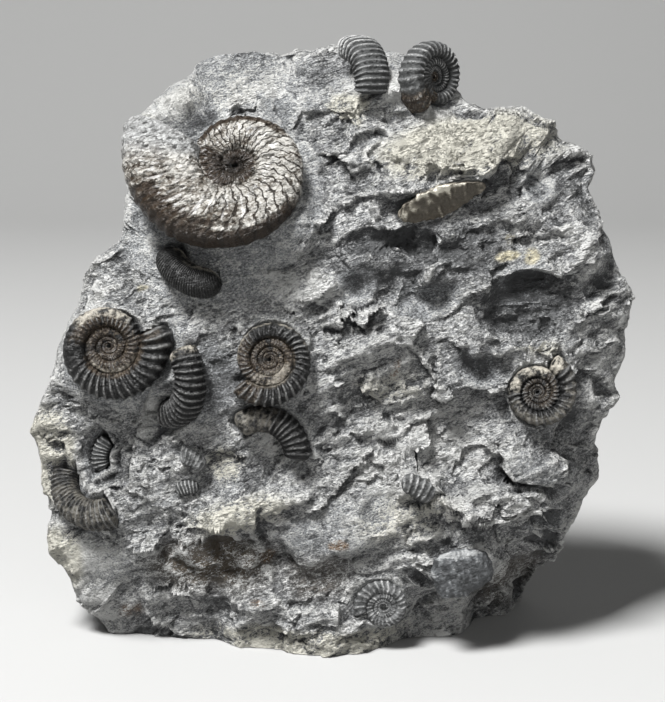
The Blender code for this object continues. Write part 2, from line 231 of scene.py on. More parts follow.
class Finish(Enum):
    """The record's material slots."""

    LIMESTONE = "limestone"
    DARK_CALCITE = "dark_calcite"
    BROWN_CALCITE = "brown_calcite"
    GREY_SHELL_ROCK = "grey_shell_rock"
    BEIGE_SHELL = "beige_shell"
    BLUE_GREY_SHELL = "blue_grey_shell"


@dataclass(frozen=True)
class Form:
    """One rise or hollow of the rock's face."""

    x: float
    z: float
    half_width: float
    above: float
    below: float
    turn: float
    rise: float
    slope: float

    def weight(self, x: np.ndarray, z: np.ndarray) -> np.ndarray:
        """Gives 1 in the middle of the form and 0 outside it.

        Args:
            x: Places along X.
            z: Places along Z.

        Returns:
            The weights.
        """
        across, up = turned(x - self.x, z - self.z, self.turn)
        reach = np.hypot(across / self.half_width, up / np.where(up > 0, self.above, self.below))
        return smooth_step((1.0 - reach) / self.slope)


@dataclass(frozen=True)
class Print:
    """A faint print of a shell, or a small mould, in the rock's face."""

    x: float
    z: float
    half_width: float
    half_height: float
    turn: float
    rise: float
    ribs: float
    rib_height: float
    curl: float = 0.0
    edge: float = 0.45

    def height(self, x: np.ndarray, z: np.ndarray) -> np.ndarray:
        """Gives how far the print stands out of the rock at each place.

        Args:
            x: Places along X.
            z: Places along Z.

        Returns:
            The heights in millimetres.
        """
        across, up = turned(x - self.x, z - self.z, self.turn)
        across, up = across / self.half_width, up / self.half_height
        inside = smooth_step((1.0 - np.hypot(across, up)) / self.edge)
        dome = np.sqrt(np.clip(1.0 - across ** 2 - up ** 2, 0.0, 1.0))
        wave = np.cos(math.pi * self.ribs * (across + self.curl * up * up))
        return inside * (self.rise * dome + self.rib_height * wave)


@dataclass(frozen=True)
class Patch:
    """A part of a coil: its direction from the coil's middle, its reach round it, and its radial limits."""

    direction: float
    spread: float
    inner: float
    outer: float
    amount: float = 1.0

    def weight(self, direction: np.ndarray, share: np.ndarray, uneven: np.ndarray) -> np.ndarray:
        """Gives the patch's strength at each point.

        Args:
            direction: The direction from the coil's middle in degrees.
            share: The share of the outer radius.
            uneven: Noise that frays the patch's edge.

        Returns:
            From 0 to the patch's amount.
        """
        apart = np.abs(np.mod(direction - self.direction + 180.0, 360.0) - 180.0)
        around = smooth_step((1.15 - apart / self.spread) / 0.4 + uneven)
        middle, half = (self.inner + self.outer) / 2, (self.outer - self.inner) / 2
        across = smooth_step((1.2 - np.abs(share - middle) / half) / 0.4 + uneven)
        return self.amount * around * across


@dataclass(frozen=True)
class Layer:
    """One layer of the broken surface: its height, its grain, and the share of it that smooth stone keeps."""

    height: float
    grain: Size
    kept: float = 0.0

    def strength(self, rough: np.ndarray) -> np.ndarray:
        """Gives the layer's height at each point, from how rough the stone is there."""
        return self.height * (self.kept + (1.0 - self.kept) * rough)


@dataclass(frozen=True)
class Coil:
    """A coiled shell: where it lies, how it grows, its ribs and its stains."""

    name: str
    place: Place
    end: float
    radius: float
    growth: float
    arc: float
    ribs: int
    inner: float
    height: float
    width: float
    relief: float
    sense: int = 1
    turn: float = 0.0
    tilt: float = 0.0
    lean: float = 0.0
    squareness: float = 0.8
    close: float = 6.0
    sweep: float = 0.3
    sharpness: float = 1.3
    finish: Finish = Finish.DARK_CALCITE
    pale: tuple[Patch, ...] = ()
    brown: tuple[Patch, ...] = ()
    ribbed: tuple[Patch, ...] = ()
    covered: float = -20.0
    rough: float = 0.05
    halo: float = 1.2
    wrinkles: float = 0.0
    flaking: float = 0.0
    far_close: float = 0.0
    around: int = 28
    steps_per_rib: int = 8
    smallest: float = 0.05

    def frame(self) -> Matrix:
        """Gives the matrix that carries the coil's own plane to its place."""
        return frame_at(self.place, self.tilt, self.lean, self.turn)

    def local(self, points: np.ndarray) -> np.ndarray:
        """Gives points in the coil's own plane, with Z towards the viewer."""
        return carried(points, self.frame().inverted())

    def reach(self, local: np.ndarray) -> tuple[np.ndarray, np.ndarray]:
        """Gives the share of the outer radius at which points lie, and how far back along the coil.

        Args:
            local: Points in the coil's own plane.

        Returns:
            The share of the radius in that direction, and the angle back from the coil's end in degrees.
        """
        direction = np.degrees(np.arctan2(local[:, 1], local[:, 0]))
        back = np.mod(self.sense * (self.end - direction), 360.0)
        outer = self.radius * self.growth ** (-back / 360.0)
        return np.hypot(local[:, 0], local[:, 1]) / outer, back

    def axis(self) -> np.ndarray:
        """Gives the direction that the coil's near side faces."""
        return np.array(self.frame().to_3x3() @ Vector((0, 0, 1)))

    def total(self) -> float:
        """Gives the whole arc in degrees, down to the smallest whorl of a whole coil."""
        if not self.inner:
            return self.arc
        return 360.0 * math.log(self.smallest) / -math.log(self.growth)


@dataclass(frozen=True)
class Plate:
    """A loose piece of shell that lies in the rock's face."""

    name: str
    place: Place
    half: Size
    turn: float
    tilt: float
    lean: float
    finish: Finish
    narrowing: float = 0.35
    squareness: float = 0.0
    dish: float = 0.0
    grooves: float = 0.1
    lower_shade: float = 0.0

    def frame(self) -> Matrix:
        """Gives the matrix that carries the plate to its place."""
        return frame_at(self.place, self.tilt, self.lean, self.turn)


COILS = (
    Coil("large_ammonite", (-26.2, -23, 137.3), end=150, radius=32.7, growth=2.7, arc=396, ribs=58,
         inner=330, height=0.70, width=0.43, relief=0.06, sense=-1, tilt=32, squareness=0.75,
         finish=Finish.BROWN_CALCITE, close=8, sweep=1.0, sharpness=0.8, rough=0.12, halo=1.4,
         wrinkles=0.40, flaking=0.2016, around=56,
         pale=(Patch(350, 70, 0.35, 1.00), Patch(60, 60, 0.45, 0.88, 0.7), Patch(262, 30, 0.86, 0.89, 1.4),
               Patch(185, 30, 0.35, 0.62), Patch(265, 40, 0.35, 0.60, 0.8)),
         # The brown patch at 262 darkens the underside of the outer whorl, and the one at the middle the
         # umbilicus: brown, with painted shade.
         brown=(Patch(262, 62, 0.91, 1.15, 1.1), Patch(90, 60, 0.85, 1.1, 0.6),
                Patch(225, 30, 0.78, 1.1, 0.6), Patch(90, 180, 0.0, 0.28)),
         ribbed=(Patch(195, 55, 0.70, 1.1), Patch(330, 110, 0.55, 1.1, 0.35)), covered=16),
    Coil("left_ammonite", (-61.1, -26, 88.3), end=22, radius=17.6, growth=1.88, arc=372, ribs=36,
         inner=420, height=0.50, width=0.52, relief=0.15, tilt=8, halo=1.35, rough=0.12,
         pale=(Patch(100, 50, 0.80, 1.05, 0.8), Patch(285, 60, 0.44, 0.50, 0.6)),
         brown=(Patch(90, 80, 0.35, 0.85), Patch(290, 90, 0.30, 0.58, 0.9), Patch(0, 180, 0.0, 0.45, 0.9)),
         ribbed=(Patch(0, 180, 0.50, 1.2), Patch(0, 180, 0.0, 0.5, 0.8))),
    Coil("centre_ammonite", (-17.1, -29.5, 85.4), end=220, radius=13.6, growth=1.65, arc=372, ribs=35,
         inner=400, height=0.43, width=0.52, relief=0.16, sense=-1, tilt=14, halo=1.15, rough=0.12,
         pale=(Patch(290, 60, 0.30, 0.60, 0.4), Patch(100, 80, 0.95, 1.1, 0.5)),
         brown=(Patch(195, 60, 0.4, 1.05, 0.8), Patch(0, 180, 0.0, 0.60, 0.9)),
         ribbed=(Patch(0, 180, 0.60, 1.2), Patch(0, 180, 0.0, 0.6, 0.7))),
    Coil("top_ammonite", (27.6, -9.5, 160.0), end=236, radius=12.2, growth=1.75, arc=378, ribs=30, inner=330,
         height=0.46, width=0.70, relief=0.14, turn=42, tilt=4, finish=Finish.GREY_SHELL_ROCK,
         brown=(Patch(230, 30, 0.5, 1.1), Patch(0, 180, 0.0, 0.16)),
         ribbed=(Patch(60, 140, 0.0, 1.3), Patch(230, 70, 0.0, 1.3, 0.35))),
    Coil("right_ammonite", (56.4, -25.5, 75.3), end=65, radius=11.8, growth=1.72, arc=378, ribs=29,
         inner=330, height=0.46, width=0.58, relief=0.15, tilt=14, halo=1.25, rough=0.14,
         pale=(Patch(125, 55, 0.66, 1.05, 0.8), Patch(60, 16, 0.55, 1.1, 0.9),
               Patch(290, 90, 0.70, 1.0, 0.25)),
         brown=(Patch(60, 180, 0.1, 0.5, 0.6),)),
    Coil("smooth_whorl", (-33.0, -22.0, 116.6), end=287, radius=16.5, growth=1.08, arc=97, ribs=34, inner=0,
         height=0.52, width=0.54, relief=0.055, turn=-5, tilt=30, close=24, far_close=22, squareness=1.0,
         sweep=1.0, pale=(Patch(245, 60, 0.42, 0.60, 0.7),)),
    Coil("upright_whorl", (-44.3, -23, 80.0), end=-88, radius=15.2, growth=1.5, arc=148, ribs=17, inner=0,
         height=0.55, width=0.60, relief=0.15, sense=-1, turn=-55, lean=13, close=8, halo=1.2, rough=0.12,
         pale=(Patch(60, 10, 0.3, 1.1, 0.8),)),
    Coil("curved_whorl", (-20.3, -28.5, 58.9), end=-10, radius=14.6, growth=1.5, arc=138, ribs=15, inner=0,
         height=0.54, width=0.60, relief=0.11, sense=-1, close=10, far_close=12, rough=0.12,
         pale=(Patch(120, 60, 0.2, 1.1, 0.35),),
         ribbed=(Patch(25, 85, 0.2, 1.1), Patch(110, 60, 0.2, 1.1, 0.3))),
    Coil("low_left_whorl", (-66.0, -18, 48.3), end=306, radius=15.4, growth=1.4, arc=132, ribs=20, inner=0,
         height=0.56, width=0.60, relief=0.12, turn=-15, tilt=35, close=8, halo=1.2, rough=0.10,
         pale=(Patch(0, 180, 0.0, 1.3, 0.22),)),
    Coil("top_whorl", (6.8, -6.5, 158.5), end=104, radius=12.7, growth=1.4, arc=118, ribs=14, inner=0,
         height=0.55, width=0.86, relief=0.12, turn=-62, finish=Finish.GREY_SHELL_ROCK, close=10),
    Coil("flat_ammonite", (14.4, -26.9, 13.4), end=200, radius=8.8, growth=1.7, arc=300, ribs=20, inner=300,
         height=0.46, width=0.36, relief=0.18, tilt=4, finish=Finish.GREY_SHELL_ROCK, smallest=0.15,
         pale=(Patch(0, 180, 0.0, 1.2, 0.35),)),
)

FRAGMENTS = (
    Coil("ribbed_fragment", (15.1, -32.2, 35.3), end=77, radius=20.0, growth=1.2, arc=34, ribs=6, inner=0,
         height=0.30, width=0.20, relief=0.18, close=9, far_close=9, halo=1.1, finish=Finish.GREY_SHELL_ROCK,
         pale=(Patch(0, 180, 0.0, 1.3, 0.2),)),
    Coil("left_fragment", (-58.2, -16.5, 54.2), end=207, radius=10.0, growth=1.2, arc=75, ribs=9, inner=0,
         height=0.50, width=0.50, relief=0.12, close=12, far_close=12, halo=1.1,
         finish=Finish.GREY_SHELL_ROCK),
    Coil("small_fragment", (-44.3, -27.0, 46.5), end=79, radius=14.0, growth=1.2, arc=38, ribs=7, inner=0,
         height=0.34, width=0.26, relief=0.11, close=9, far_close=9, halo=1.1, finish=Finish.GREY_SHELL_ROCK,
         pale=(Patch(0, 180, 0.0, 1.3, 0.55),)),
    Coil("low_fragment", (-38.4, -25.8, 36.2), end=115, radius=14.0, growth=1.2, arc=31, ribs=7, inner=0,
         height=0.28, width=0.20, relief=0.11, close=7, far_close=7, halo=1.1, finish=Finish.GREY_SHELL_ROCK),
)

PLATES = (
    Plate("pale_shell", (29.5, -23.5, 127.8), (12.6, 5.2, 1.6), 4, -30, -20, Finish.BEIGE_SHELL,
          dish=1.4, grooves=0.6, lower_shade=0.9),
    Plate("grey_shell", (36.4, -31.0, 25.2), (8.8, 6.6, 2.4), 8, 6, -12, Finish.BLUE_GREY_SHELL,
          squareness=0.6, dish=0.5, grooves=0.15),
)


@dataclass
class Rock:
    """The limestone block: its outline, its depth, and the broken surface."""

    centre_z: float = 84.0
    squareness: float = 4.0
    rim_share: float = 0.22
    floor_blend: float = 30.0
    side_fall: float = 7.0
    back_fall: float = 9.0
    side_reach: float = 80.0
    fall_power: float = 2.3
    face_cuts: int = 14
    depth_cuts: int = 23
    stray: float = 4.0
    wide_form: float = 22.0
    back_share: float = 0.12
    back_from: float = 8.0
    crease: float = 34.0
    stray_size: Size = (11.0, 11.0, 11.0)
    fray_size: Size = (9.0, 9.0, 9.0)
    blocks: Layer = Layer(2.4, (23.0, 23.0, 23.0), 0.22)
    swells: Layer = Layer(1.7, (15.0, 15.0, 15.0), 0.35)
    slabs: Layer = Layer(1.5, (14.0, 10.0, 8.0), 0.08)
    small_chips: Layer = Layer(0.60, (5.8, 4.0, 3.0), 0.15)
    split: Layer = Layer(0.8, (22.0, 9.0, 7.0))
    grit: Layer = Layer(0.30, (2.0, 2.0, 2.0), 0.25)
    crumbs: Layer = Layer(1.2, (5.0, 5.0, 5.0))
    stripes: Layer = Layer(1.3, (22.0, 22.0, 3.4))
    striations: Layer = Layer(0.6, (12.0, 12.0, 1.4))
    pit_spacing: float = 3.4
    pit_depth: float = 1.5
    overhang: float = 0.25
    side_share: float = 0.42
    fossil_edge: float = 0.25
    chip_lean: float = 1.6
    chip_step: float = 0.35
    chip_cleft: float = 0.55
    crest_passes: int = 5
    ridge_passes: int = 70
    plate_reach: float = 12.0
    plate_seat: Line = ((0.0, -1.2), (0.8, -1.0), (1.0, 0.0), (1.3, 2.0))
    coil_seat: Line = ((0.0, -0.6), (0.9, -0.6), (1.02, -0.25), (1.1, 0.1), (1.25, 0.6), (1.5, 1.6))
    outline: Line = (
        (-58.6, 118), (-57, 125), (-57.5, 132), (-58.5, 140), (-56.5, 147.5), (-50.5, 152.5), (-44.5, 157),
        (-39, 160.5),
        (-37.5, 164.2), (-32.5, 166.3), (-22, 168), (-15, 166.5), (-11, 168), (-6, 166.5), (0, 168.3),
        (8, 167.5), (17.7, 167), (24, 165.5), (31, 162), (35.4, 157), (37.5, 154), (42.2, 151.8),
        (52.3, 151.9), (58.7, 149.3), (62.2, 148.7), (64.7, 144), (67.7, 143.5), (73, 139), (74.7, 133.5),
        (72.6, 129.5), (74.8, 124), (77.6, 117), (81.3, 106), (85.6, 99), (85, 93), (83.8, 84), (80.5, 75.5),
        (81.6, 70), (77.4, 64), (76.3, 59.5), (77.4, 53), (77.2, 47), (72, 41), (69.6, 35.3), (68, 26.7),
        (66.2, 20), (61.9, 15), (60, 4), (57, -15), (0, -15), (-61, -15), (-65, -2), (-69.5, 4.7), (-72.7, 9),
        (-76.2, 16.5), (-82.3, 24.5), (-82.5, 33.5), (-81.5, 42.7), (-84.2, 55), (-86.5, 60.5), (-84.8, 65.7),
        (-80.4, 75), (-76.8, 86.5), (-72.5, 97), (-69.3, 106), (-66.2, 110.5), (-61.4, 114),
    )
    face_line: Line = ((0, -31), (25, -31), (60, -29), (90, -28.5), (115, -26), (135, -20), (150, -13),
                       (170, -2))
    base_line: Line = ((-64, -20), (-35, -21), (-26, -29), (-10, -32), (5, -32), (15, -26), (22, -22),
                       (37, -17), (44, -4), (50, 0), (60, 8))
    back_line: Line = ((0, 37), (45, 41), (90, 38), (130, 31), (170, 20))
    forms: dict[str, Form] = field(default_factory=lambda: {
        "upper_shelf": Form(34, 146, 46, 10, 12, 6, 5.5, 0.75),
        "shell_ledge": Form(28, 133, 26, 8, 6, 14, 7.5, 0.6),
        "cave_under_shell": Form(25, 116.0, 18, 5, 8, 4, -4.6, 0.8),
        "cave_deep": Form(9, 117, 8, 4, 5, 20, -2.5, 0.9),
        "oval_mould_left": Form(6, 104, 6.0, 6.5, 7.0, -20, -3.2, 1.0),
        "oval_mould_right": Form(25, 101.5, 12.5, 7.5, 7.0, 8, -4.5, 1.0),
        "striped_recess": Form(54, 99.5, 16, 9, 11, -3, -4.0, 0.45),
        "recess_roof": Form(54, 105, 14, 3.5, 5, -3, -3.0, 0.8),
        "recess_lip": Form(52, 86.5, 14, 3, 4, 3, 2.5, 0.9),
        "right_lobe": Form(71, 112, 9, 16, 10, 20, 5.0, 0.9),
        "mould_with_knob": Form(39.5, 82.5, 9.5, 6, 6, -20, -3.6, 0.8),
        "knob": Form(39, 86, 3.5, 3, 3, 0, 3.5, 0.9),
        "mid_swell": Form(8, 84, 26, 12, 10, 15, 2.5, 0.9),
        "layered_ledge": Form(56, 53, 22, 16, 5, -24, 5.0, 0.6),
        "big_ledge": Form(47, 42, 21, 9, 4, -8, 7.0, 0.5),
        "under_ledge": Form(58, 28, 16, 6, 16, 0, -4.5, 0.8),
        "shell_bench": Form(36, 24, 12, 8, 6, 25, 5.0, 0.6),
        "diagonal_groove": Form(25, 21, 6, 2.5, 2.5, -40, -3.0, 0.9),
        "blue_flat": Form(14, 42, 8, 7, 7, 30, -2.0, 0.6),
        "fragment_rise": Form(23, 51, 6, 4.5, 4.5, 60, 2.0, 0.8),
        "centre_rise": Form(-22, 43, 26, 10, 7, 16, 3.0, 0.8),
        "crumbly_hollow": Form(-36, 28, 20, 9, 8, 5, -2.0, 0.9),
        "foot_swell": Form(-14, 12, 28, 7, 9, 3, 3.0, 0.9),
        "left_mould": Form(-66.5, 54, 6.5, 7.5, 6.5, 0, -3.2, 0.9),
        "left_shoulder": Form(-63, 112, 8, 5, 4, 30, 3.0, 0.9),
        "perch_of_top_coils": Form(20, 158, 27, 11, 10, 0, 9.5, 0.9),
        "white_corner": Form(5, 150, 11, 6, 8, 0, 4.5, 0.9),
        "grey_facet": Form(-15, 152, 6, 5, 5, -30, -2.5, 0.6),
        "slope_rise": Form(-8, 120, 14, 20, 12, -50, 3.0, 0.9),
        "seat_of_large": Form(-28, 133, 27, 21, 25, 0, 6.5, 0.6),
        "shoulder_of_large": Form(-49, 152, 17, 10, 14, 25, 13.5, 0.8),
        "seat_of_left": Form(-58, 87, 20, 17, 17, 0, 5.0, 0.6),
        "seat_of_upright": Form(-40, 79, 7, 13, 13, -10, 1.0, 0.7),
        "seat_of_right": Form(57, 75, 13, 13, 13, 0, 2.5, 0.5),
        "seat_of_low_left": Form(-67, 42, 15, 9, 11, 20, 1.5, 0.6),
    })
    smooth_zones: tuple[Form, ...] = (
        Form(-44, 120, 12, 12, 30, 0, 1.0, 0.5),
        Form(-30, 108, 26, 8, 10, -8, 0.9, 0.6),
        Form(-25, 160, 26, 14, 11, 5, 0.9, 0.6),
        Form(-42, 153, 27, 13, 12, 25, 1.0, 0.5),
        Form(-15, 152, 7, 6, 6, -30, 1.0, 0.5),
        Form(7, 105.5, 7, 7, 7, -20, 1.0, 0.4),
        Form(26, 101, 12, 6, 6, 12, 1.0, 0.4),
        Form(39, 81, 9, 6, 6, -20, 0.9, 0.5),
        Form(12, 42, 8, 7, 7, 30, 1.0, 0.5),
        Form(-66, 24, 12, 9, 9, -20, 0.8, 0.6),
        Form(36, 24, 12, 8, 8, 25, 0.8, 0.5),
        Form(20, 158, 26, 10, 9, 0, 0.7, 0.6),
        Form(57, 53, 14, 6, 6, -20, 0.6, 0.6),
        Form(60, 38, 9, 9, 10, 0, 0.6, 0.6),
        Form(23, 60, 7, 6, 6, 0, 0.7, 0.6),
        Form(8, 141, 10, 7, 7, 0, 0.6, 0.6),
    )
    crust_zones: tuple[Form, ...] = (
        Form(38, 142, 38, 12, 12, 6, 1.0, 0.7),
        Form(-30, 158, 30, 10, 12, 20, 0.3, 0.7),
        Form(-81, 56, 11, 18, 22, 0, 1.0, 0.7),
        Form(-79, 24, 11, 14, 16, 0, 1.0, 0.7),
        Form(-10, 2, 46, 7, 10, 2, 0.9, 0.7),
        Form(-26, 40, 26, 10, 8, 16, 0.8, 0.8),
        Form(20, 40, 26, 12, 14, 10, 0.5, 0.8),
        Form(15, 76, 20, 8, 8, 0, 0.5, 0.8),
        Form(-30, 55, 8, 7, 7, 0, 0.9, 0.7),
        Form(4, 152, 9, 6, 7, 0, 1.0, 0.6),
        Form(-50, 140, 8, 16, 12, 0, 0.6, 0.7),
        Form(56, 87, 10, 4, 4, 0, 0.7, 0.7),
    )
    # Painted shade: darker colour under the ledges and the pale shell, in the recesses and moulds, between
    # the fossils, down the right side and on the upper left slope.
    shade_zones: tuple[Form, ...] = (
        Form(24, 114, 32, 8, 13, 6, 1.0, 0.5),
        Form(55, 99, 19, 12, 12, 0, 1.0, 0.6),
        Form(-34, 79, 24, 17, 14, 0, 0.75, 0.8),
        Form(12, 112, 12, 14, 12, 0, 0.6, 0.8),
        Form(38, 84, 12, 7, 7, -20, 0.5, 0.8),
        Form(59, 24, 12, 16, 14, 0, 0.7, 0.7),
        Form(74, 118, 13, 26, 22, 10, 0.5, 0.6),
        Form(-24, 160, 24, 9, 10, 0, 0.35, 0.7),
        Form(-66, 55, 9, 9, 8, 0, 0.6, 0.7),
    )
    # Painted light, with paler stone: lighter colour on the upper shelf and on open parts of the face.
    bright_zones: tuple[Form, ...] = (
        Form(28, 55, 30, 22, 20, 10, 1.0, 0.7),
        Form(32, 143, 32, 10, 10, 6, 1.0, 0.6),
        Form(-10, 106, 18, 9, 9, -20, 1.0, 0.7),
        Form(-14, 62, 10, 8, 8, 0, 0.7, 0.7),
        Form(-68, 22, 14, 12, 14, -20, 0.6, 0.7),
    )
    brown_zones: tuple[Form, ...] = (
        Form(-34, 24, 24, 12, 12, 6, 1.0, 0.6),
        Form(-4, 22, 14, 10, 10, 0, 0.6, 0.7),
        Form(52, 14, 16, 14, 16, 0, 0.7, 0.7),
    )

    prints: tuple[Print, ...] = (
        Print(-38, 27, 4.2, 3.6, -10, -1.8, 6, 0.45, 0.5),
        Print(-13, 162, 4.6, 2.6, 5, 0.6, 7, 0.22, 0.8),
        Print(-5, 155, 5.5, 1.6, 25, -0.5, 8, 0.30, 0.0),
        Print(57, 132, 5.5, 4.5, 60, -2.2, 6, 0.35, 0.2),
        Print(52, 106, 10.0, 2.2, 3, -0.5, 0, 0.0),
        Print(-29, 51, 4.5, 3.5, 20, 0.3, 3, 0.12, 0.8),
        Print(4, 37, 9.0, 3.0, 40, 0.2, 4, 0.30, 0.9),
        Print(-6, 33, 8.0, 3.0, 55, 0.2, 4, 0.26, 0.7),
    )
    striped_zones: tuple[Form, ...] = (
        Form(54, 99.5, 15, 9, 11, -3, 1.0, 0.4),
        Form(26, 117, 16, 4, 5, 4, 0.6, 0.6),
    )
    rust_zones: tuple[Form, ...] = (
        Form(-19, 26, 2.6, 3.0, 2.4, 40, 1.0, 0.25),
        Form(1.5, 32, 3.0, 1.8, 2.0, 0, 1.0, 0.25),
        Form(-58, 8, 5.0, 3.0, 3.0, 0, 0.8, 0.7),
        Form(18, 81, 1.3, 3.0, 3.0, -10, 0.8, 0.6),
        Form(-22, 14, 3.0, 1.6, 1.6, 0, 0.7, 0.6),
    )
    cream_zones: tuple[Form, ...] = (
        Form(48, 112.5, 4.0, 1.3, 1.3, 5, 1.0, 0.4),
        Form(54.5, 112, 2.6, 2.2, 2.2, 0, 0.9, 0.4),
        Form(49, 117, 1.6, 1.6, 1.6, 0, 0.6, 0.4),
        Form(-52, 104, 3.0, 1.0, 1.0, 20, 0.7, 0.5),
    )

    def polar(self) -> tuple[np.ndarray, np.ndarray]:
        """Gives the outline as sorted angles and radii about the block's centre."""
        points = np.array(self.outline, float)
        angles = np.arctan2(points[:, 1] - self.centre_z, points[:, 0])
        radii = np.hypot(points[:, 0], points[:, 1] - self.centre_z)
        order = np.argsort(angles)
        angles, radii = angles[order], radii[order]
        angles = np.concatenate(([angles[-1] - math.tau], angles, [angles[0] + math.tau]))
        return angles, np.concatenate(([radii[-1]], radii, [radii[0]]))

    def outline_reach(self, angle: np.ndarray) -> np.ndarray:
        """Gives the distance from the block's centre to its outline in each direction.

        Args:
            angle: The directions in radians.

        Returns:
            The distances.
        """
        angles, radii = self.polar()
        left = np.clip(np.searchsorted(angles, angle) - 1, 0, len(angles) - 2)
        before, after = angle - angles[left], angles[left + 1] - angle
        near, far = radii[left], radii[left + 1]
        chord = near * far * np.sin(angles[left + 1] - angles[left])
        return chord / (near * np.sin(before) + far * np.sin(after))

    def face_depth(self, x: np.ndarray, z: np.ndarray) -> np.ndarray:
        """Gives the y of the fossil face at each place.

        Args:
            x: Places along X.
            z: Places along Z.

        Returns:
            The face before its surface is broken.
        """
        upright = along(self.face_line, z) + self.side_fall * (np.abs(x) / self.side_reach) ** self.fall_power
        flat = np.stack((x, np.zeros_like(x), z), axis=1)
        stray_x = self.stray * fractal(flat, self.stray_size, 3)
        stray_z = self.stray * fractal(flat + self.side_reach, self.stray_size, 3)
        for form in self.forms.values():
            share = min(1.0, form.half_width / self.wide_form) ** 2
            upright -= form.rise * form.weight(x + share * stray_x, z + share * stray_z)
        base = along(self.base_line, x)
        return base + (upright - base) * smooth_step(z / self.floor_blend)

    def back_depth(self, x: np.ndarray, z: np.ndarray) -> np.ndarray:
        """Gives the y of the broken back at each place."""
        return along(self.back_line, z) - self.back_fall * (np.abs(x) / self.side_reach) ** self.fall_power

    def base_points(self, corners: np.ndarray) -> np.ndarray:
        """Carries the points of a two-unit cube to the block's surface.

        Args:
            corners: Rows of three, from -1 to 1.

        Returns:
            Rows of three in millimetres.
        """
        flat = np.maximum(np.abs(corners[:, 0]), np.abs(corners[:, 2]))
        power = self.squareness
        swell = (flat ** power + np.abs(corners[:, 1]) ** power) ** (1.0 / power)
        share, depth = flat / swell, corners[:, 1] / swell
        angle = np.arctan2(corners[:, 2], corners[:, 0])
        reach = self.outline_reach(angle) * share
        x, z = reach * np.cos(angle), self.centre_z + reach * np.sin(angle)
        front, back = self.face_depth(x, z), self.back_depth(x, z)
        rim = self.rim_share
        inward = np.where(depth < 0, rim * (1.0 + depth), rim + (1.0 - rim) * depth)
        return np.stack((x, front + (back - front) * inward, z), axis=1)

    def zone_mask(self, zones: tuple[Form, ...], x: np.ndarray, z: np.ndarray) -> np.ndarray:
        """Gives the strongest weight of several zones at each place.

        Args:
            zones: The zones, whose rise is their strength.
            x: Places along X.
            z: Places along Z.

        Returns:
            From 0 to the strength of the zone there.
        """
        mask = np.zeros_like(x)
        for zone in zones:
            mask = np.maximum(mask, zone.rise * zone.weight(x, z))
        return mask

    def bedded(self, points: np.ndarray) -> np.ndarray:
        """Turns points about Y so that the flakes' long direction lies along X."""
        across, up = turned(points[:, 0], points[:, 2], BED_SLOPE)
        return np.stack((across, points[:, 1], up), axis=1)

    def chips(self, points: np.ndarray, size: Size) -> np.ndarray:
        """Gives the height of a broken surface: flat chips that lean different ways.

        Args:
            points: Rows of three in millimetres.
            size: A chip's length along X, Y and Z.

        Returns:
            About -1 to 1 for each point.
        """
        half = Vector(MIDDLE)
        heights = np.empty(len(points))
        for number, row in enumerate(points / np.array(size)):
            place = Vector(row)
            distances, centres = noise.voronoi(place)
            lowest = 1.5
            for distance, centre in zip(distances, centres):
                lean = noise.cell_vector(centre * 17.0) - half
                height = 0.55 + self.chip_lean * lean.dot(place - centre)
                height += self.chip_step * noise.noise(centre * 5.1)
                lowest = min(lowest, height + self.chip_cleft * (distance - distances[0]))
            heights[number] = 2.0 * lowest - 1.0
        return heights

    def flakes(self, points: np.ndarray, size: Size, levels: float) -> np.ndarray:
        """Gives the height of thin split layers with steep edges.

        Args:
            points: Rows of three in millimetres.
            size: A layer's length along X, Y and Z.
            levels: How many layers there are.

        Returns:
            From 0 to 1 for each point.
        """
        level = (fractal(points, size, 3) * 0.5 + 0.5) * levels
        step = np.floor(level)
        return (step + smooth_step((level - step - 0.7) / 0.3)) / levels

    def build(self) -> bpy.types.Object:
        """Makes the block's mesh with its masks.

        Returns:
            The rock, in metres.
        """
        deselect_all()
        bpy.ops.mesh.primitive_cube_add(size=2.0, location=(0, 0, 0))
        rock = bpy.context.active_object
        rock.name = rock.data.name = "limestone_block"
        bpy.ops.object.mode_set(mode="EDIT")
        bpy.ops.mesh.select_mode(type="EDGE")
        for cuts in (self.face_cuts, self.face_cuts + 1):
            cut_edges(rock, lambda edge: not self.runs_back(edge), cuts)
        cut_edges(rock, self.runs_back, self.depth_cuts)
        bpy.ops.object.mode_set(mode="OBJECT")
        LOG.info("rock grid has %d points", len(rock.data.vertices))
        write_points(rock.data, self.base_points(read_points(rock.data)))
        self.shape(rock.data)
        self.trim(rock)
        bpy.ops.object.shade_smooth_by_angle(angle=math.radians(self.crease))
        return rock

    def runs_back(self, edge: bmesh.types.BMEdge) -> bool:
        """Says whether an edge of the cube runs from its front to its back."""
        return abs(edge.verts[0].co.y - edge.verts[1].co.y) > 0.5

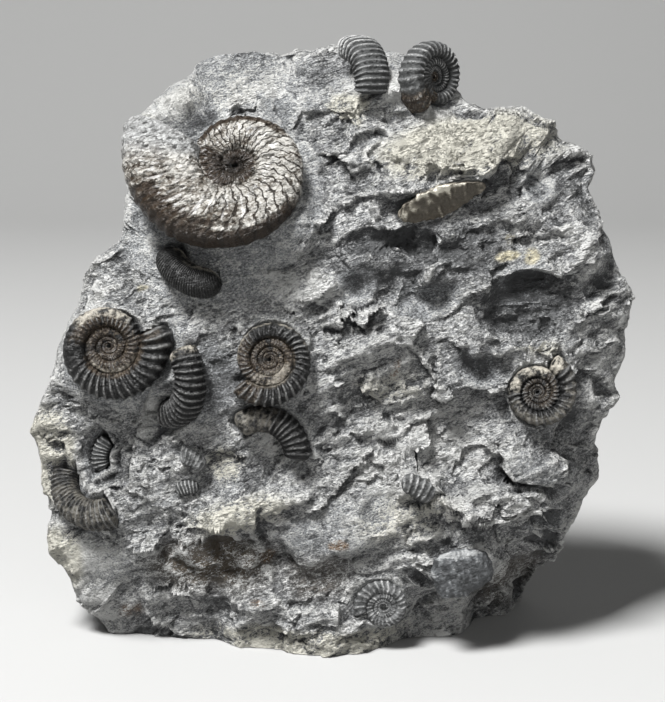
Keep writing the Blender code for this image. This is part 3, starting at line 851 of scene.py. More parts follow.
    def broken_height(self, points: np.ndarray, rough: np.ndarray, brown: np.ndarray) -> np.ndarray:
        """Gives how far the broken surface stands out at each point.

        Args:
            points: The points of the smooth block.
            rough: 1 where the stone is freshly broken, 0 where it is smooth.
            brown: 1 where it is brown and pitted.

        Returns:
            The heights in millimetres.
        """
        bedded = self.bedded(points)
        x, z, ahead = points[:, 0], points[:, 2], points[:, 1] < 0.0
        lively = 0.55 + 0.9 * smooth_step(fractal(points + 50.0, (26.0, 26.0, 20.0), 2) + 0.5)
        height = self.blocks.strength(rough) * self.chips(points, self.blocks.grain)
        height += self.swells.strength(rough) * fractal(points, self.swells.grain, 2)
        for layer in (self.slabs, self.small_chips):
            height += layer.strength(rough) * self.chips(bedded, layer.grain) * lively
        height += self.split.strength(rough) * (self.flakes(bedded, self.split.grain, 4.0) - 0.5) * lively
        height += self.grit.strength(rough) * fractal(points, self.grit.grain, 2)
        near = np.array([noise.voronoi(Vector(row))[0][0] for row in points / self.pit_spacing])
        height -= self.pit_depth * brown * smooth_step((0.45 - near) / 0.25)
        height += self.crumbs.strength(brown) * self.chips(points, self.crumbs.grain)
        striped = self.zone_mask(self.striped_zones, x, z) * ahead
        height += self.stripes.strength(striped) * (self.flakes(points, self.stripes.grain, 6.0) - 0.5)
        height += self.striations.strength(striped) * fractal(points, self.striations.grain, 2)
        for item in self.prints:
            height += item.height(x, z) * ahead
        return height

    def shape(self, mesh: bpy.types.Mesh) -> None:
        """Breaks the smooth block's surface, fits it round the fossils and stores its masks."""
        points, normals = read_points(mesh), read_normals(mesh)
        pairs = edge_pairs(mesh)
        x, z = points[:, 0], points[:, 2]
        front = smooth_step((0.1 - normals[:, 1]) / 0.4)
        fray = fractal(points, self.fray_size, 3)
        smooth = self.smoothness(points, fray, front)
        brown = self.zone_mask(self.brown_zones, x, z) * front
        rough = np.clip(1.0 - smooth, 0.0, 1.0)
        height = self.broken_height(points, rough, brown)
        height += brown * (blurred(height, pairs, 3) - height)
        height *= self.side_share + (1.0 - self.side_share) * smooth_step(np.abs(normals[:, 1]) / 0.8)
        moved = points + normals * height[:, None]
        moved[:, 2] -= self.overhang * height * rough * front
        for coil in COILS + FRAGMENTS:
            moved = self.fitted(moved, coil)
        for plate in PLATES:
            moved = self.bedding(moved, plate)
        write_points(mesh, moved)
        normals = read_normals(mesh)
        # The crest and ridge masks say how far each point stands out; the limestone uses them for painted
        # highlights on standing points and painted shade in hollows.
        write_mask(mesh, "crest", self.standing(moved, normals, pairs, self.crest_passes))
        write_mask(mesh, "ridge", self.standing(moved, normals, pairs, self.ridge_passes))
        write_mask(mesh, "smooth", smooth)
        write_mask(mesh, "brown", brown)
        # The shade and bright masks carry painted shade and painted light.
        zones = (("crust", self.crust_zones, 0.0), ("shade", self.shade_zones, 1.0),
                 ("bright", self.bright_zones, 1.0), ("rust", self.rust_zones, 1.0),
                 ("cream", self.cream_zones, 0.7))
        for name, forms, wander in zones:
            write_mask(mesh, name, self.zone_mask(forms, x + wander * fray, z + wander * fray) * front)

    def smoothness(self, points: np.ndarray, fray: np.ndarray, front: np.ndarray) -> np.ndarray:
        """Gives how smooth the stone is: in its smooth zones, round each fossil and at each print.

        Args:
            points: The points of the smooth block.
            fray: Noise that makes the edges uneven.
            front: 1 on the fossil face.

        Returns:
            From 0 to 1 for each point.
        """
        x, z = points[:, 0], points[:, 2]
        smooth = self.zone_mask(self.smooth_zones, x, z)
        for coil in COILS + FRAGMENTS:
            share, back = coil.reach(coil.local(points))
            near = smooth_step((coil.halo - share) / self.fossil_edge + 0.5 * fray)
            if not coil.inner:
                near = near * (back < coil.arc) * (share > 1.0 - coil.height)
            smooth = np.maximum(smooth, 0.9 * near)
        smooth *= front * (0.85 + 0.15 * fray)
        for item in self.prints:
            reach = np.hypot(x - item.x, z - item.z) / math.hypot(item.half_width, item.half_height)
            edge = smooth_step((1.0 - reach - 0.3 * fray) / 0.5)
            smooth = np.maximum(smooth, 0.8 * front * edge)
        return smooth

    def standing(self, points: np.ndarray, normals: np.ndarray, pairs: np.ndarray,
                 passes: int) -> np.ndarray:
        """Gives how far each point stands out of its surroundings.

        Args:
            points: The rock's points.
            normals: Their normals.
            pairs: The edges.
            passes: How wide the surroundings are.

        Returns:
            The heights in millimetres.
        """
        mean = np.stack([blurred(points[:, axis], pairs, passes) for axis in range(3)], axis=1)
        return ((points - mean) * normals).sum(axis=1)

    def trim(self, rock: bpy.types.Object) -> None:
        """Cuts the block flat at the floor, thins its back and turns it into metres."""
        bpy.ops.object.mode_set(mode="EDIT")
        bpy.ops.mesh.select_all(action="SELECT")
        bpy.ops.mesh.bisect(plane_co=(0, 0, 0), plane_no=(0, 0, 1), clear_inner=True, use_fill=True)
        bpy.ops.mesh.select_mode(type="FACE")
        mesh = bmesh.from_edit_mesh(rock.data)
        for face in mesh.faces:
            face.select_set(face.normal.y > 0.3 and face.calc_center_median().y > self.back_from)
        bmesh.update_edit_mesh(rock.data)
        bpy.ops.mesh.decimate(ratio=self.back_share)
        bpy.ops.object.mode_set(mode="OBJECT")
        write_points(rock.data, read_points(rock.data) * MM)

    def bedding(self, points: np.ndarray, plate: Plate) -> np.ndarray:
        """Moves the rock back from a loose plate's face.

        Args:
            points: The rock's points.
            plate: The plate.

        Returns:
            The moved points.
        """
        frame = np.array(plate.frame())
        local = (points - frame[:3, 3]) @ frame[:3, :3]
        reach = np.hypot(local[:, 0] / plate.half[0], local[:, 1] / plate.half[1])
        limit = plate.half[2] * np.interp(reach, *zip(*self.plate_seat))
        near = (np.abs(local[:, 2]) < self.plate_reach) * smooth_step((1.3 - reach) / 0.2)
        move = -near * np.maximum(local[:, 2] - limit, 0.0)
        return points + move[:, None] * frame[:3, 2]

    def fitted(self, points: np.ndarray, coil: Coil) -> np.ndarray:
        """Moves the rock back from a coil's near side, except where it covers the coil's end.

        Args:
            points: The rock's points.
            coil: The coil.

        Returns:
            The moved points.
        """
        local = coil.local(points)
        share, back = coil.reach(local)
        deep = local[:, 2]
        near = np.abs(deep) < 1.6 * coil.radius
        half_width = coil.width * coil.radius / 2
        limit = half_width * np.interp(share, *zip(*self.coil_seat))
        free = near * smooth_step((1.5 - share) / 0.1)
        if not coil.inner:
            free = free * smooth_step((coil.arc + 12.0 - back) / 10.0)
            free = free * smooth_step((share - 1.0 + coil.height * 1.15) / 0.12)
        free = free * smooth_step((back - coil.covered) / 10.0)
        move = -free * np.maximum(deep - limit, 0.0)
        return points + move[:, None] * coil.axis()


@dataclass
class Shell:
    """Builds one coiled shell from a coil's sizes."""

    coil: Coil
    outer_share: float = 0.6
    mean_crest: float = 0.45
    tip: float = 0.02
    fray_size: Size = (4.0, 4.0, 4.0)
    grain_size: Size = (2.6, 2.6, 2.6)
    flake_size: Size = (5.0, 5.0, 5.0)
    wrinkle_arc: float = 7.0

    def rings(self) -> int:
        """Gives the number of rings that puts the wanted steps on each of the outer ribs."""
        wanted = self.coil.total() / (self.coil.arc / self.coil.ribs) * self.coil.steps_per_rib
        return math.ceil(wanted * self.outer_share if self.coil.inner else wanted)

    def build(self) -> bpy.types.Object:
        """Makes the shell's mesh with its masks.

        Returns:
            The shell, in metres.
        """
        coil = self.coil
        cuts = math.ceil(math.sqrt(self.rings())) - 1
        deselect_all()
        bpy.ops.mesh.primitive_cylinder_add(vertices=coil.around, radius=1.0, depth=1.0, location=(0, 0, 0))
        shell = bpy.context.active_object
        shell.name = shell.data.name = coil.name + "_shell"
        bpy.ops.object.mode_set(mode="EDIT")
        bpy.ops.mesh.select_mode(type="EDGE")
        for _ in range(2):
            cut_edges(shell, lambda edge: abs(edge.verts[0].co.z - edge.verts[1].co.z) > 1e-6, cuts)
        bpy.ops.object.mode_set(mode="OBJECT")
        self.shape(shell.data)
        bpy.ops.object.mode_set(mode="EDIT")
        bpy.ops.mesh.select_all(action="SELECT")
        bpy.ops.mesh.normals_make_consistent(inside=False)
        bpy.ops.object.mode_set(mode="OBJECT")
        shell.data.shade_smooth()
        return shell

    def shape(self, mesh: bpy.types.Mesh) -> None:
        """Winds the straight tube into its coil, raises its ribs and stores its masks."""
        coil = self.coil
        tube = read_points(mesh)
        turn = np.arctan2(tube[:, 1], tube[:, 0])
        run = 0.5 - tube[:, 2]
        if coil.inner:
            run = self.outer_share * run + (1.0 - self.outer_share) * run * run
        back = run * coil.total()
        out = np.sign(np.cos(turn)) * np.abs(np.cos(turn)) ** coil.squareness
        side = np.sign(np.sin(turn)) * np.abs(np.sin(turn)) ** coil.squareness
        outer = coil.radius * coil.growth ** (-back / 360.0)
        high, wide = outer * coil.height, outer * coil.width
        heading = np.radians(coil.end - coil.sense * back)
        direction = np.degrees(heading)
        middle = outer - high / 2
        share = (middle + out * high / 2) / (coil.radius * coil.growth ** (-np.mod(back, 360.0) / 360.0))
        flat = np.stack((middle * np.cos(heading), middle * np.sin(heading), side * wide / 2), axis=1)
        fray = fractal(flat, self.fray_size, 3) * 0.35
        pale = self.tint(coil.pale, direction, share, fray)
        brown = self.tint(coil.brown, direction, share, fray)
        ribbed = self.tint(coil.ribbed, direction, share, fray) if coil.ribbed else np.ones_like(share)
        mean = self.mean_crest
        crest = mean + (self.crest(back, out) - mean) * ribbed * (1.0 - 0.8 * pale)
        swell = 1.0 + 0.95 * coil.relief * (crest - 0.4)
        closing = self.closing(back)
        radial = middle + closing * out * high / 2 * swell
        depth = side * wide / 2 * swell * closing
        local = np.stack((radial * np.cos(heading), radial * np.sin(heading), depth), axis=1)
        away = np.stack((out * np.cos(heading), out * np.sin(heading), side), axis=1)
        grain = fractal(local, self.grain_size, 4) * coil.rough * np.minimum(1.0, outer / 6.0)
        flaked = coil.flaking * smooth_step((fractal(local, self.flake_size, 3) - 0.1) / 0.1)
        waves = np.stack((back / self.wrinkle_arc, out * 0.9 + side * 0.3, np.zeros_like(out)), axis=1)
        wrinkle = coil.wrinkles * fractal(waves, (1.0, 1.0, 1.0), 3) * smooth_step((back - 20.0) / 20.0)
        local += away * (grain - flaked + wrinkle)[:, None]
        write_points(mesh, carried(local, coil.frame()) * MM)
        # The crest mask sets painted highlights on the rib crests and painted shade in the grooves, less on
        # low ribs.
        write_mask(mesh, "crest", mean + (crest - mean) * min(1.0, coil.relief / 0.08))
        write_mask(mesh, "along", back / 360.0)
        write_mask(mesh, "share", share)
        write_mask(mesh, "pale", pale)
        write_mask(mesh, "brown", brown)

    def closing(self, back: np.ndarray) -> np.ndarray:
        """Gives the share of the tube's thickness that is left near its rounded ends.

        Args:
            back: Degrees back from the coil's end.

        Returns:
            From almost 0 at an end to 1.
        """
        coil = self.coil
        near = np.clip(back / coil.close, self.tip, 1.0)
        left = np.sqrt(1.0 - (1.0 - near) ** 2)
        if coil.far_close:
            far = np.clip((coil.arc - back) / coil.far_close, self.tip, 1.0)
            left *= np.sqrt(1.0 - (1.0 - far) ** 2)
        return left

    def crest(self, back: np.ndarray, out: np.ndarray) -> np.ndarray:
        """Gives 1 on the rib crests and 0 in the grooves between them.

        Args:
            back: Degrees back from the coil's end.
            out: 1 on the outer edge, -1 on the inner one.

        Returns:
            The heights.
        """
        coil = self.coil
        pitch = coil.arc / coil.ribs
        bend = coil.sweep * pitch * smooth_step((out + 0.2) / 1.2)
        uneven = np.array([noise.noise(Vector((angle * 0.021, coil.radius, 0.0))) for angle in back])
        phase = (back + bend) / pitch + 0.5 * uneven
        wave = (0.5 - 0.5 * np.cos(math.tau * phase)) ** coil.sharpness
        return wave * (0.35 + 0.65 * smooth_step((out + 1.0) / 0.6)) * (1.0 + 0.5 * uneven)

    def tint(self, patches: tuple[Patch, ...], direction: np.ndarray, share: np.ndarray,
             fray: np.ndarray) -> np.ndarray:
        """Gives the strongest of several patches at each point.

        Args:
            patches: The patches.
            direction: The direction from the coil's middle in degrees.
            share: The share of the outer radius.
            fray: Noise that makes their edges uneven.

        Returns:
            The weights.
        """
        mask = np.zeros_like(share)
        for patch in patches:
            mask = np.maximum(mask, patch.weight(direction, share, fray))
        return mask


@dataclass
class ShellPlate:
    """Builds one loose plate of shell."""

    plate: Plate
    uneven_size: Size = (6.0, 6.0, 6.0)
    groove_size: Size = (1.2, 3.0, 2.0)

    def build(self) -> bpy.types.Object:
        """Makes the plate's mesh.

        Returns:
            The plate, in metres.
        """
        plate = self.plate
        deselect_all()
        bpy.ops.mesh.primitive_uv_sphere_add(segments=120, ring_count=64, radius=1.0, location=(0, 0, 0))
        item = bpy.context.active_object
        item.name = item.data.name = plate.name + "_plate"
        points = read_points(item.data)
        squeeze = 1.0 - plate.narrowing * np.maximum(0.0, points[:, 0])
        edge = np.hypot(points[:, 0], points[:, 1])
        box = np.maximum(np.abs(points[:, 0]), np.abs(points[:, 1]))
        fill = 1.0 + plate.squareness * (edge / np.maximum(box, 0.01) - 1.0)
        across = points[:, 0] * fill * plate.half[0]
        up = points[:, 1] * fill * squeeze * plate.half[1]
        deep = points[:, 2] * plate.half[2]
        flat = np.stack((across, up, deep), axis=1)
        uneven = fractal(flat, self.uneven_size, 3)
        fine = fractal(flat, self.groove_size, 3)
        facing = smooth_step(points[:, 2] / 0.3)
        deep = deep - facing * plate.dish * (1.0 - edge ** 2)
        deep = deep + facing * (0.35 * uneven + plate.grooves * fine)
        fray = 1.0 + (0.10 * uneven + 0.04 * fine) * smooth_step((edge - 0.5) / 0.5)
        local = np.stack((across * fray, up * fray, deep), axis=1)
        write_points(item.data, carried(local, plate.frame()) * MM)
        # Painted highlight: the rim makes the top edge of the plate's face paler.
        rim = smooth_step((points[:, 1] - 0.55) / 0.25) * facing
        write_mask(item.data, "crest", np.clip(0.40 + 0.7 * fine + 0.5 * uneven + 0.8 * rim, 0.0, 1.3))
        # Painted shade: the lower half turns towards the finish's brown colour.
        low = smooth_step((-points[:, 1] - 0.1 + 0.5 * uneven) / 0.8)
        write_mask(item.data, "brown", low * plate.lower_shade)
        write_mask(item.data, "pale", np.zeros(len(points)))
        item.data.shade_smooth()
        return item


class Wiring:
    """Places and joins the nodes of one node tree."""

    def __init__(self, tree: bpy.types.NodeTree) -> None:
        """Keeps the tree."""
        self.tree = tree

    def add(self, kind: str, **settings: object) -> bpy.types.Node:
        """Adds a node.

        Args:
            kind: The node's type, such as ShaderNodeMath.
            settings: Its properties.

        Returns:
            The node.
        """
        node = self.tree.nodes.new(kind)
        for name, value in settings.items():
            setattr(node, name, value)
        return node

    def put(self, target: bpy.types.NodeSocket, value: object) -> None:
        """Sets a socket to a number or colour, or joins another socket to it.

        Args:
            target: The socket.
            value: What it is given.
        """
        if isinstance(value, bpy.types.NodeSocket):
            self.tree.links.new(value, target)
        elif isinstance(value, tuple) and len(value) == 3 and target.type == "RGBA":
            target.default_value = (*value, 1.0)
        else:
            target.default_value = value

    def math(self, operation: str, first: object, second: object = 0.0) -> bpy.types.NodeSocket:
        """Joins two numbers with a Math node and gives its output."""
        node = self.add("ShaderNodeMath", operation=operation)
        self.put(node.inputs[0], first)
        self.put(node.inputs[1], second)
        return node.outputs[0]

    def times(self, first: object, second: object) -> bpy.types.NodeSocket:
        """Gives the product of two numbers."""
        return self.math("MULTIPLY", first, second)

    def vector(self, operation: str, first: object, second: object) -> bpy.types.NodeSocket:
        """Joins two vectors with a Vector Math node and gives the vector that comes out."""
        node = self.add("ShaderNodeVectorMath", operation=operation)
        self.put(node.inputs[0], first)
        self.put(node.inputs[1], second)
        return node.outputs["Vector"]

    def mix(self, share: object, first: object, second: object) -> bpy.types.NodeSocket:
        """Mixes two colours.

        Args:
            share: How much of the second there is.
            first: One colour.
            second: The other colour.

        Returns:
            The mixed colour.
        """
        node = self.add("ShaderNodeMix", data_type="RGBA", clamp_factor=True)
        self.put(node.inputs["Factor"], share)
        self.put(node.inputs[6], first)
        self.put(node.inputs[7], second)
        return node.outputs[2]

    def ramp(self, value: object, low: float, high: float) -> bpy.types.NodeSocket:
        """Rises smoothly from 0 to 1 between two values, or falls where low is above high.

        Args:
            value: The number.
            low: Where the result is 0.
            high: Where it is 1.

        Returns:
            From 0 to 1.
        """
        node = self.add("ShaderNodeMapRange", interpolation_type="SMOOTHSTEP")
        self.put(node.inputs["Value"], value)
        self.put(node.inputs["From Min"], low)
        self.put(node.inputs["From Max"], high)
        return node.outputs["Result"]

    def mask(self, name: str) -> bpy.types.NodeSocket:
        """Reads one of the piece's own masks."""
        return self.add("ShaderNodeAttribute", attribute_name=name).outputs["Fac"]

    def place(self) -> bpy.types.NodeSocket:
        """Gives the point in the piece's own coordinates."""
        return self.add("ShaderNodeTexCoord").outputs["Object"]

    def beds(self, length: float, thickness: float) -> bpy.types.NodeSocket:
        """Draws the piece's coordinates out along the rock's beds, which rise to the right.

        Args:
            length: How long a grain is along the beds.
            thickness: How thick it is across them.

        Returns:
            The point.
        """
        node = self.add("ShaderNodeMapping", vector_type="TEXTURE")
        node.inputs["Rotation"].default_value = (0.0, -math.radians(BED_SLOPE), 0.0)
        node.inputs["Scale"].default_value = (length, 1.0, thickness)
        self.put(node.inputs["Vector"], self.place())
        return node.outputs["Vector"]

    def grain(self, scale: float, detail: float, roughness: float,
              place: bpy.types.NodeSocket | None = None) -> bpy.types.NodeSocket:
        """Spreads noise over the piece.

        Args:
            scale: The grains in a metre.
            detail: How many finer layers it has.
            roughness: How strong they are.
            place: The coordinates, or nothing for the piece's own.

        Returns:
            From 0 to 1.
        """
        node = self.add("ShaderNodeTexNoise")
        self.put(node.inputs["Vector"], place or self.place())
        self.put(node.inputs["Scale"], scale)
        self.put(node.inputs["Detail"], detail)
        self.put(node.inputs["Roughness"], roughness)
        return node.outputs["Fac"]

    def sum(self, *terms: object) -> bpy.types.NodeSocket:
        """Adds several numbers, each alone or in a pair with the factor that scales it."""
        values = [self.times(*term) if isinstance(term, tuple) else term for term in terms]
        total = values[0]
        for value in values[1:]:
            total = self.math("ADD", total, value)
        return total

    def bump(self, height: object, shader: bpy.types.Node) -> None:
        """Gives the shader a relief whose height is in millimetres."""
        node = self.add("ShaderNodeBump")
        node.inputs["Strength"].default_value = 1.0
        node.inputs["Distance"].default_value = MM
        self.put(node.inputs["Height"], height)
        self.put(shader.inputs["Normal"], node.outputs["Normal"])


def new_finish(name: str) -> tuple[bpy.types.Material, Wiring, bpy.types.Node]:
    """Makes an empty material.

    Args:
        name: Its name.

    Returns:
        The material, its wiring and its shader.
    """
    material = bpy.data.materials.new(name)
    material.use_nodes = True
    return material, Wiring(material.node_tree), material.node_tree.nodes["Principled BSDF"]


def chipped_group() -> bpy.types.NodeTree:
    """Gives the group of small flat chips that lean different ways, made once.

    Returns:
        The group, which turns a chip's Size into its Height, as a share of that size, and its Tone.
    """
    name = "chipped_stone"
    if name in bpy.data.node_groups:
        return bpy.data.node_groups[name]
    group = bpy.data.node_groups.new(name, "ShaderNodeTree")
    for socket, direction in (("Size", "INPUT"), ("Height", "OUTPUT"), ("Tone", "OUTPUT")):
        group.interface.new_socket(socket, in_out=direction, socket_type="NodeSocketFloat")
    wiring = Wiring(group)
    size = wiring.add("NodeGroupInput").outputs["Size"]
    result = wiring.add("NodeGroupOutput")
    beds = wiring.beds(1.7, 0.8)
    frequency = wiring.math("DIVIDE", 1.0, size)
    warp = wiring.add("ShaderNodeTexNoise")
    wiring.put(warp.inputs["Vector"], beds)
    wiring.put(warp.inputs["Scale"], frequency)
    wiring.put(warp.inputs["Detail"], 1.0)
    shift = wiring.add("ShaderNodeVectorMath", operation="SCALE")
    wiring.put(shift.inputs[0], wiring.vector("SUBTRACT", warp.outputs["Color"], MIDDLE))
    wiring.put(shift.inputs["Scale"], wiring.times(size, 0.9))
    place = wiring.vector("ADD", beds, shift.outputs["Vector"])
    chips = wiring.add("ShaderNodeTexVoronoi", feature="F1")
    wiring.put(chips.inputs["Vector"], place)
    wiring.put(chips.inputs["Scale"], frequency)
    slope = wiring.add("ShaderNodeVectorMath", operation="DOT_PRODUCT")
    wiring.put(slope.inputs[0], wiring.vector("SUBTRACT", place, chips.outputs["Position"]))
    wiring.put(slope.inputs[1], wiring.vector("SUBTRACT", chips.outputs["Color"], MIDDLE))
    tones = wiring.add("ShaderNodeSeparateColor")
    wiring.put(tones.inputs[0], chips.outputs["Color"])
    flat = wiring.times(slope.outputs["Value"], wiring.times(frequency, 1.3))
    wiring.put(result.inputs["Height"], wiring.sum(flat, (tones.outputs[0], 0.22)))
    wiring.put(result.inputs["Tone"], tones.outputs[1])
    return group


def chips_of(wiring: Wiring, size: float, share: float = 1.0) -> tuple[bpy.types.NodeSocket, ...]:
    """Places the chip group in a material.

    Args:
        wiring: The material's wiring.
        size: A chip's size in millimetres.
        share: Makes the chips flatter or steeper.

    Returns:
        The height in millimetres, and each chip's tone from 0 to 1.
    """
    node = wiring.add("ShaderNodeGroup", node_tree=chipped_group())
    node.inputs["Size"].default_value = size * MM
    return wiring.times(node.outputs["Height"], size * share), node.outputs["Tone"]


@dataclass(frozen=True)
class Limestone:
    """The block's finish: broken grey stone, paler on its crests with painted highlights and pale dust, and
    darker in its hollows with painted shade.
    """

    dark: Colour = (0.080, 0.082, 0.084)
    mid: Colour = (0.255, 0.259, 0.261)
    light: Colour = (0.55, 0.55, 0.535)
    blue: Colour = (0.250, 0.262, 0.272)
    crust: Colour = (0.52, 0.505, 0.44)
    brown: Colour = (0.080, 0.064, 0.046)
    rust: Colour = (0.22, 0.125, 0.055)
    cream: Colour = (0.58, 0.53, 0.38)
    roughness: float = 0.62
    chip_sizes: Line = ((2.6, 1.5), (1.2, 2.2), (0.6, 2.8))
    hollows: tuple[float, float] = (2.95, 2.30)
    crests: tuple[float, float] = (2.95, 3.60)

    def material(self) -> bpy.types.Material:
        """Makes the material."""
        material, wiring, shader = new_finish("limestone_finish")
        mask = wiring.mask
        smooth, crust = mask("smooth"), mask("crust")
        rough = wiring.math("SUBTRACT", 1.0, wiring.times(smooth, 0.65))
        heights = [chips_of(wiring, size, share)[0] for size, share in self.chip_sizes]
        broken = wiring.times(wiring.sum(*heights), rough)
        broad = wiring.grain(38.0, 4.0, 0.6)
        patches = wiring.grain(130.0, 4.0, 0.65)
        fine = wiring.grain(800.0, 3.5, 0.8, wiring.beds(2.4, 0.8))
        specks = wiring.grain(1900.0, 2.0, 0.8, wiring.beds(1.3, 0.8))
        # Painted light: standing points (crest, ridge) and raised chips turn paler as painted highlights and
        # hollows darker as painted shade; the shade zones add painted shade and the bright zones painted
        # light.
        form = wiring.sum((mask("crest"), 0.8), (mask("ridge"), 0.07), (broken, 0.20))
        form = wiring.sum(form, (mask("shade"), -0.80), (mask("bright"), 0.58))
        cloud = wiring.sum((broad, 0.9), (patches, 0.3), (fine, 1.3))
        shade = wiring.sum(form, cloud, (specks, 3.4))
        rusty = wiring.times(mask("rust"), wiring.ramp(fine, 0.32, 0.48))
        pitted = wiring.times(mask("brown"), wiring.ramp(fine, 0.68, 0.50))
        creamy = wiring.times(mask("cream"), wiring.ramp(fine, 0.35, 0.5))
        colour = wiring.mix(wiring.times(smooth, 0.8), self.mid, self.blue)
        colour = wiring.mix(rusty, colour, self.rust)
        # Painted shade, with dark grains: low tone turns towards the dark colour.
        colour = wiring.mix(wiring.ramp(shade, *self.hollows), colour, self.dark)
        colour = wiring.mix(pitted, colour, self.brown)
        pale = wiring.mix(wiring.ramp(crust, 0.1, 0.7), self.light, self.crust)
        # Painted highlights, with pale dust, crust and pale grains: high tone turns towards the light and
        # crust colours.
        colour = wiring.mix(wiring.ramp(wiring.sum(shade, (crust, 0.45)), *self.crests), colour, pale)
        wiring.put(shader.inputs["Base Color"], wiring.mix(creamy, colour, self.cream))
        dullness = wiring.math("SUBTRACT", self.roughness, wiring.times(smooth, 0.12))
        wiring.put(shader.inputs["Roughness"], dullness)
        shader.inputs["Specular IOR Level"].default_value = 0.4
        grains = wiring.sum((fine, 1.8), (specks, 2.0), (patches, 0.9))
        wiring.bump(wiring.sum((broken, 1.2), grains), shader)
        return material


@dataclass(frozen=True)
class ShellStone:
    """A fossil shell's finish: painted shade in the rib grooves, and paler rib crests, with painted
    highlights and wear.
    """

    name: str
    groove: Colour
    body: Colour
    crest: Colour
    pale: Colour = (0.36, 0.335, 0.285)
    brown: Colour = (0.022, 0.015, 0.010)
    tan: Colour = (0.118, 0.098, 0.072)
    roughness: float = 0.38
    coat: float = 0.05

    def material(self) -> bpy.types.Material:
        """Makes the material."""
        material, wiring, shader = new_finish(self.name)
        crest, pale, brown = wiring.mask("crest"), wiring.mask("pale"), wiring.mask("brown")
        chips, tone = chips_of(wiring, 0.6)
        clouds = wiring.grain(420.0, 4.0, 0.7)
        fine = wiring.grain(1800.0, 2.0, 0.75)
        centred = wiring.math("SUBTRACT", clouds, 0.5)
        grained = wiring.mix(wiring.ramp(fine, 0.50, 0.66), self.brown, self.tan)
        stain_and_shade = wiring.times(brown, wiring.ramp(clouds, 0.35, 0.48))
        crusted = wiring.times(pale, wiring.ramp(clouds, 0.40, 0.60))
        groove_shade_and_mottling = wiring.sum(crest, (centred, 0.9))
        highlight_and_wear = wiring.sum(crest, (centred, 1.4), (fine, 1.1))
        # Painted shade, with mottling: low crests turn towards the dark groove colour.
        colour = wiring.mix(wiring.ramp(groove_shade_and_mottling, 0.25, 0.90), self.groove, self.body)
        # Brown stains on the coils, and painted shade on the pale shell's lower half.
        colour = wiring.mix(stain_and_shade, colour, grained)
        colour = wiring.mix(crusted, colour, self.pale)
        # Painted highlights, with wear: high crests turn towards the pale crest colour.
        colour = wiring.mix(wiring.ramp(highlight_and_wear, 1.25, 1.80), colour, self.crest)
        wiring.put(shader.inputs["Base Color"], colour)
        wiring.put(shader.inputs["Roughness"], wiring.sum(self.roughness, (pale, 0.2), (tone, 0.2)))
        shader.inputs["Coat Weight"].default_value = self.coat
        shader.inputs["Coat Roughness"].default_value = 0.3
        shader.inputs["Specular IOR Level"].default_value = 0.30
        wiring.bump(wiring.sum((chips, 0.7), (fine, 0.22), (clouds, 0.6)), shader)
        return material


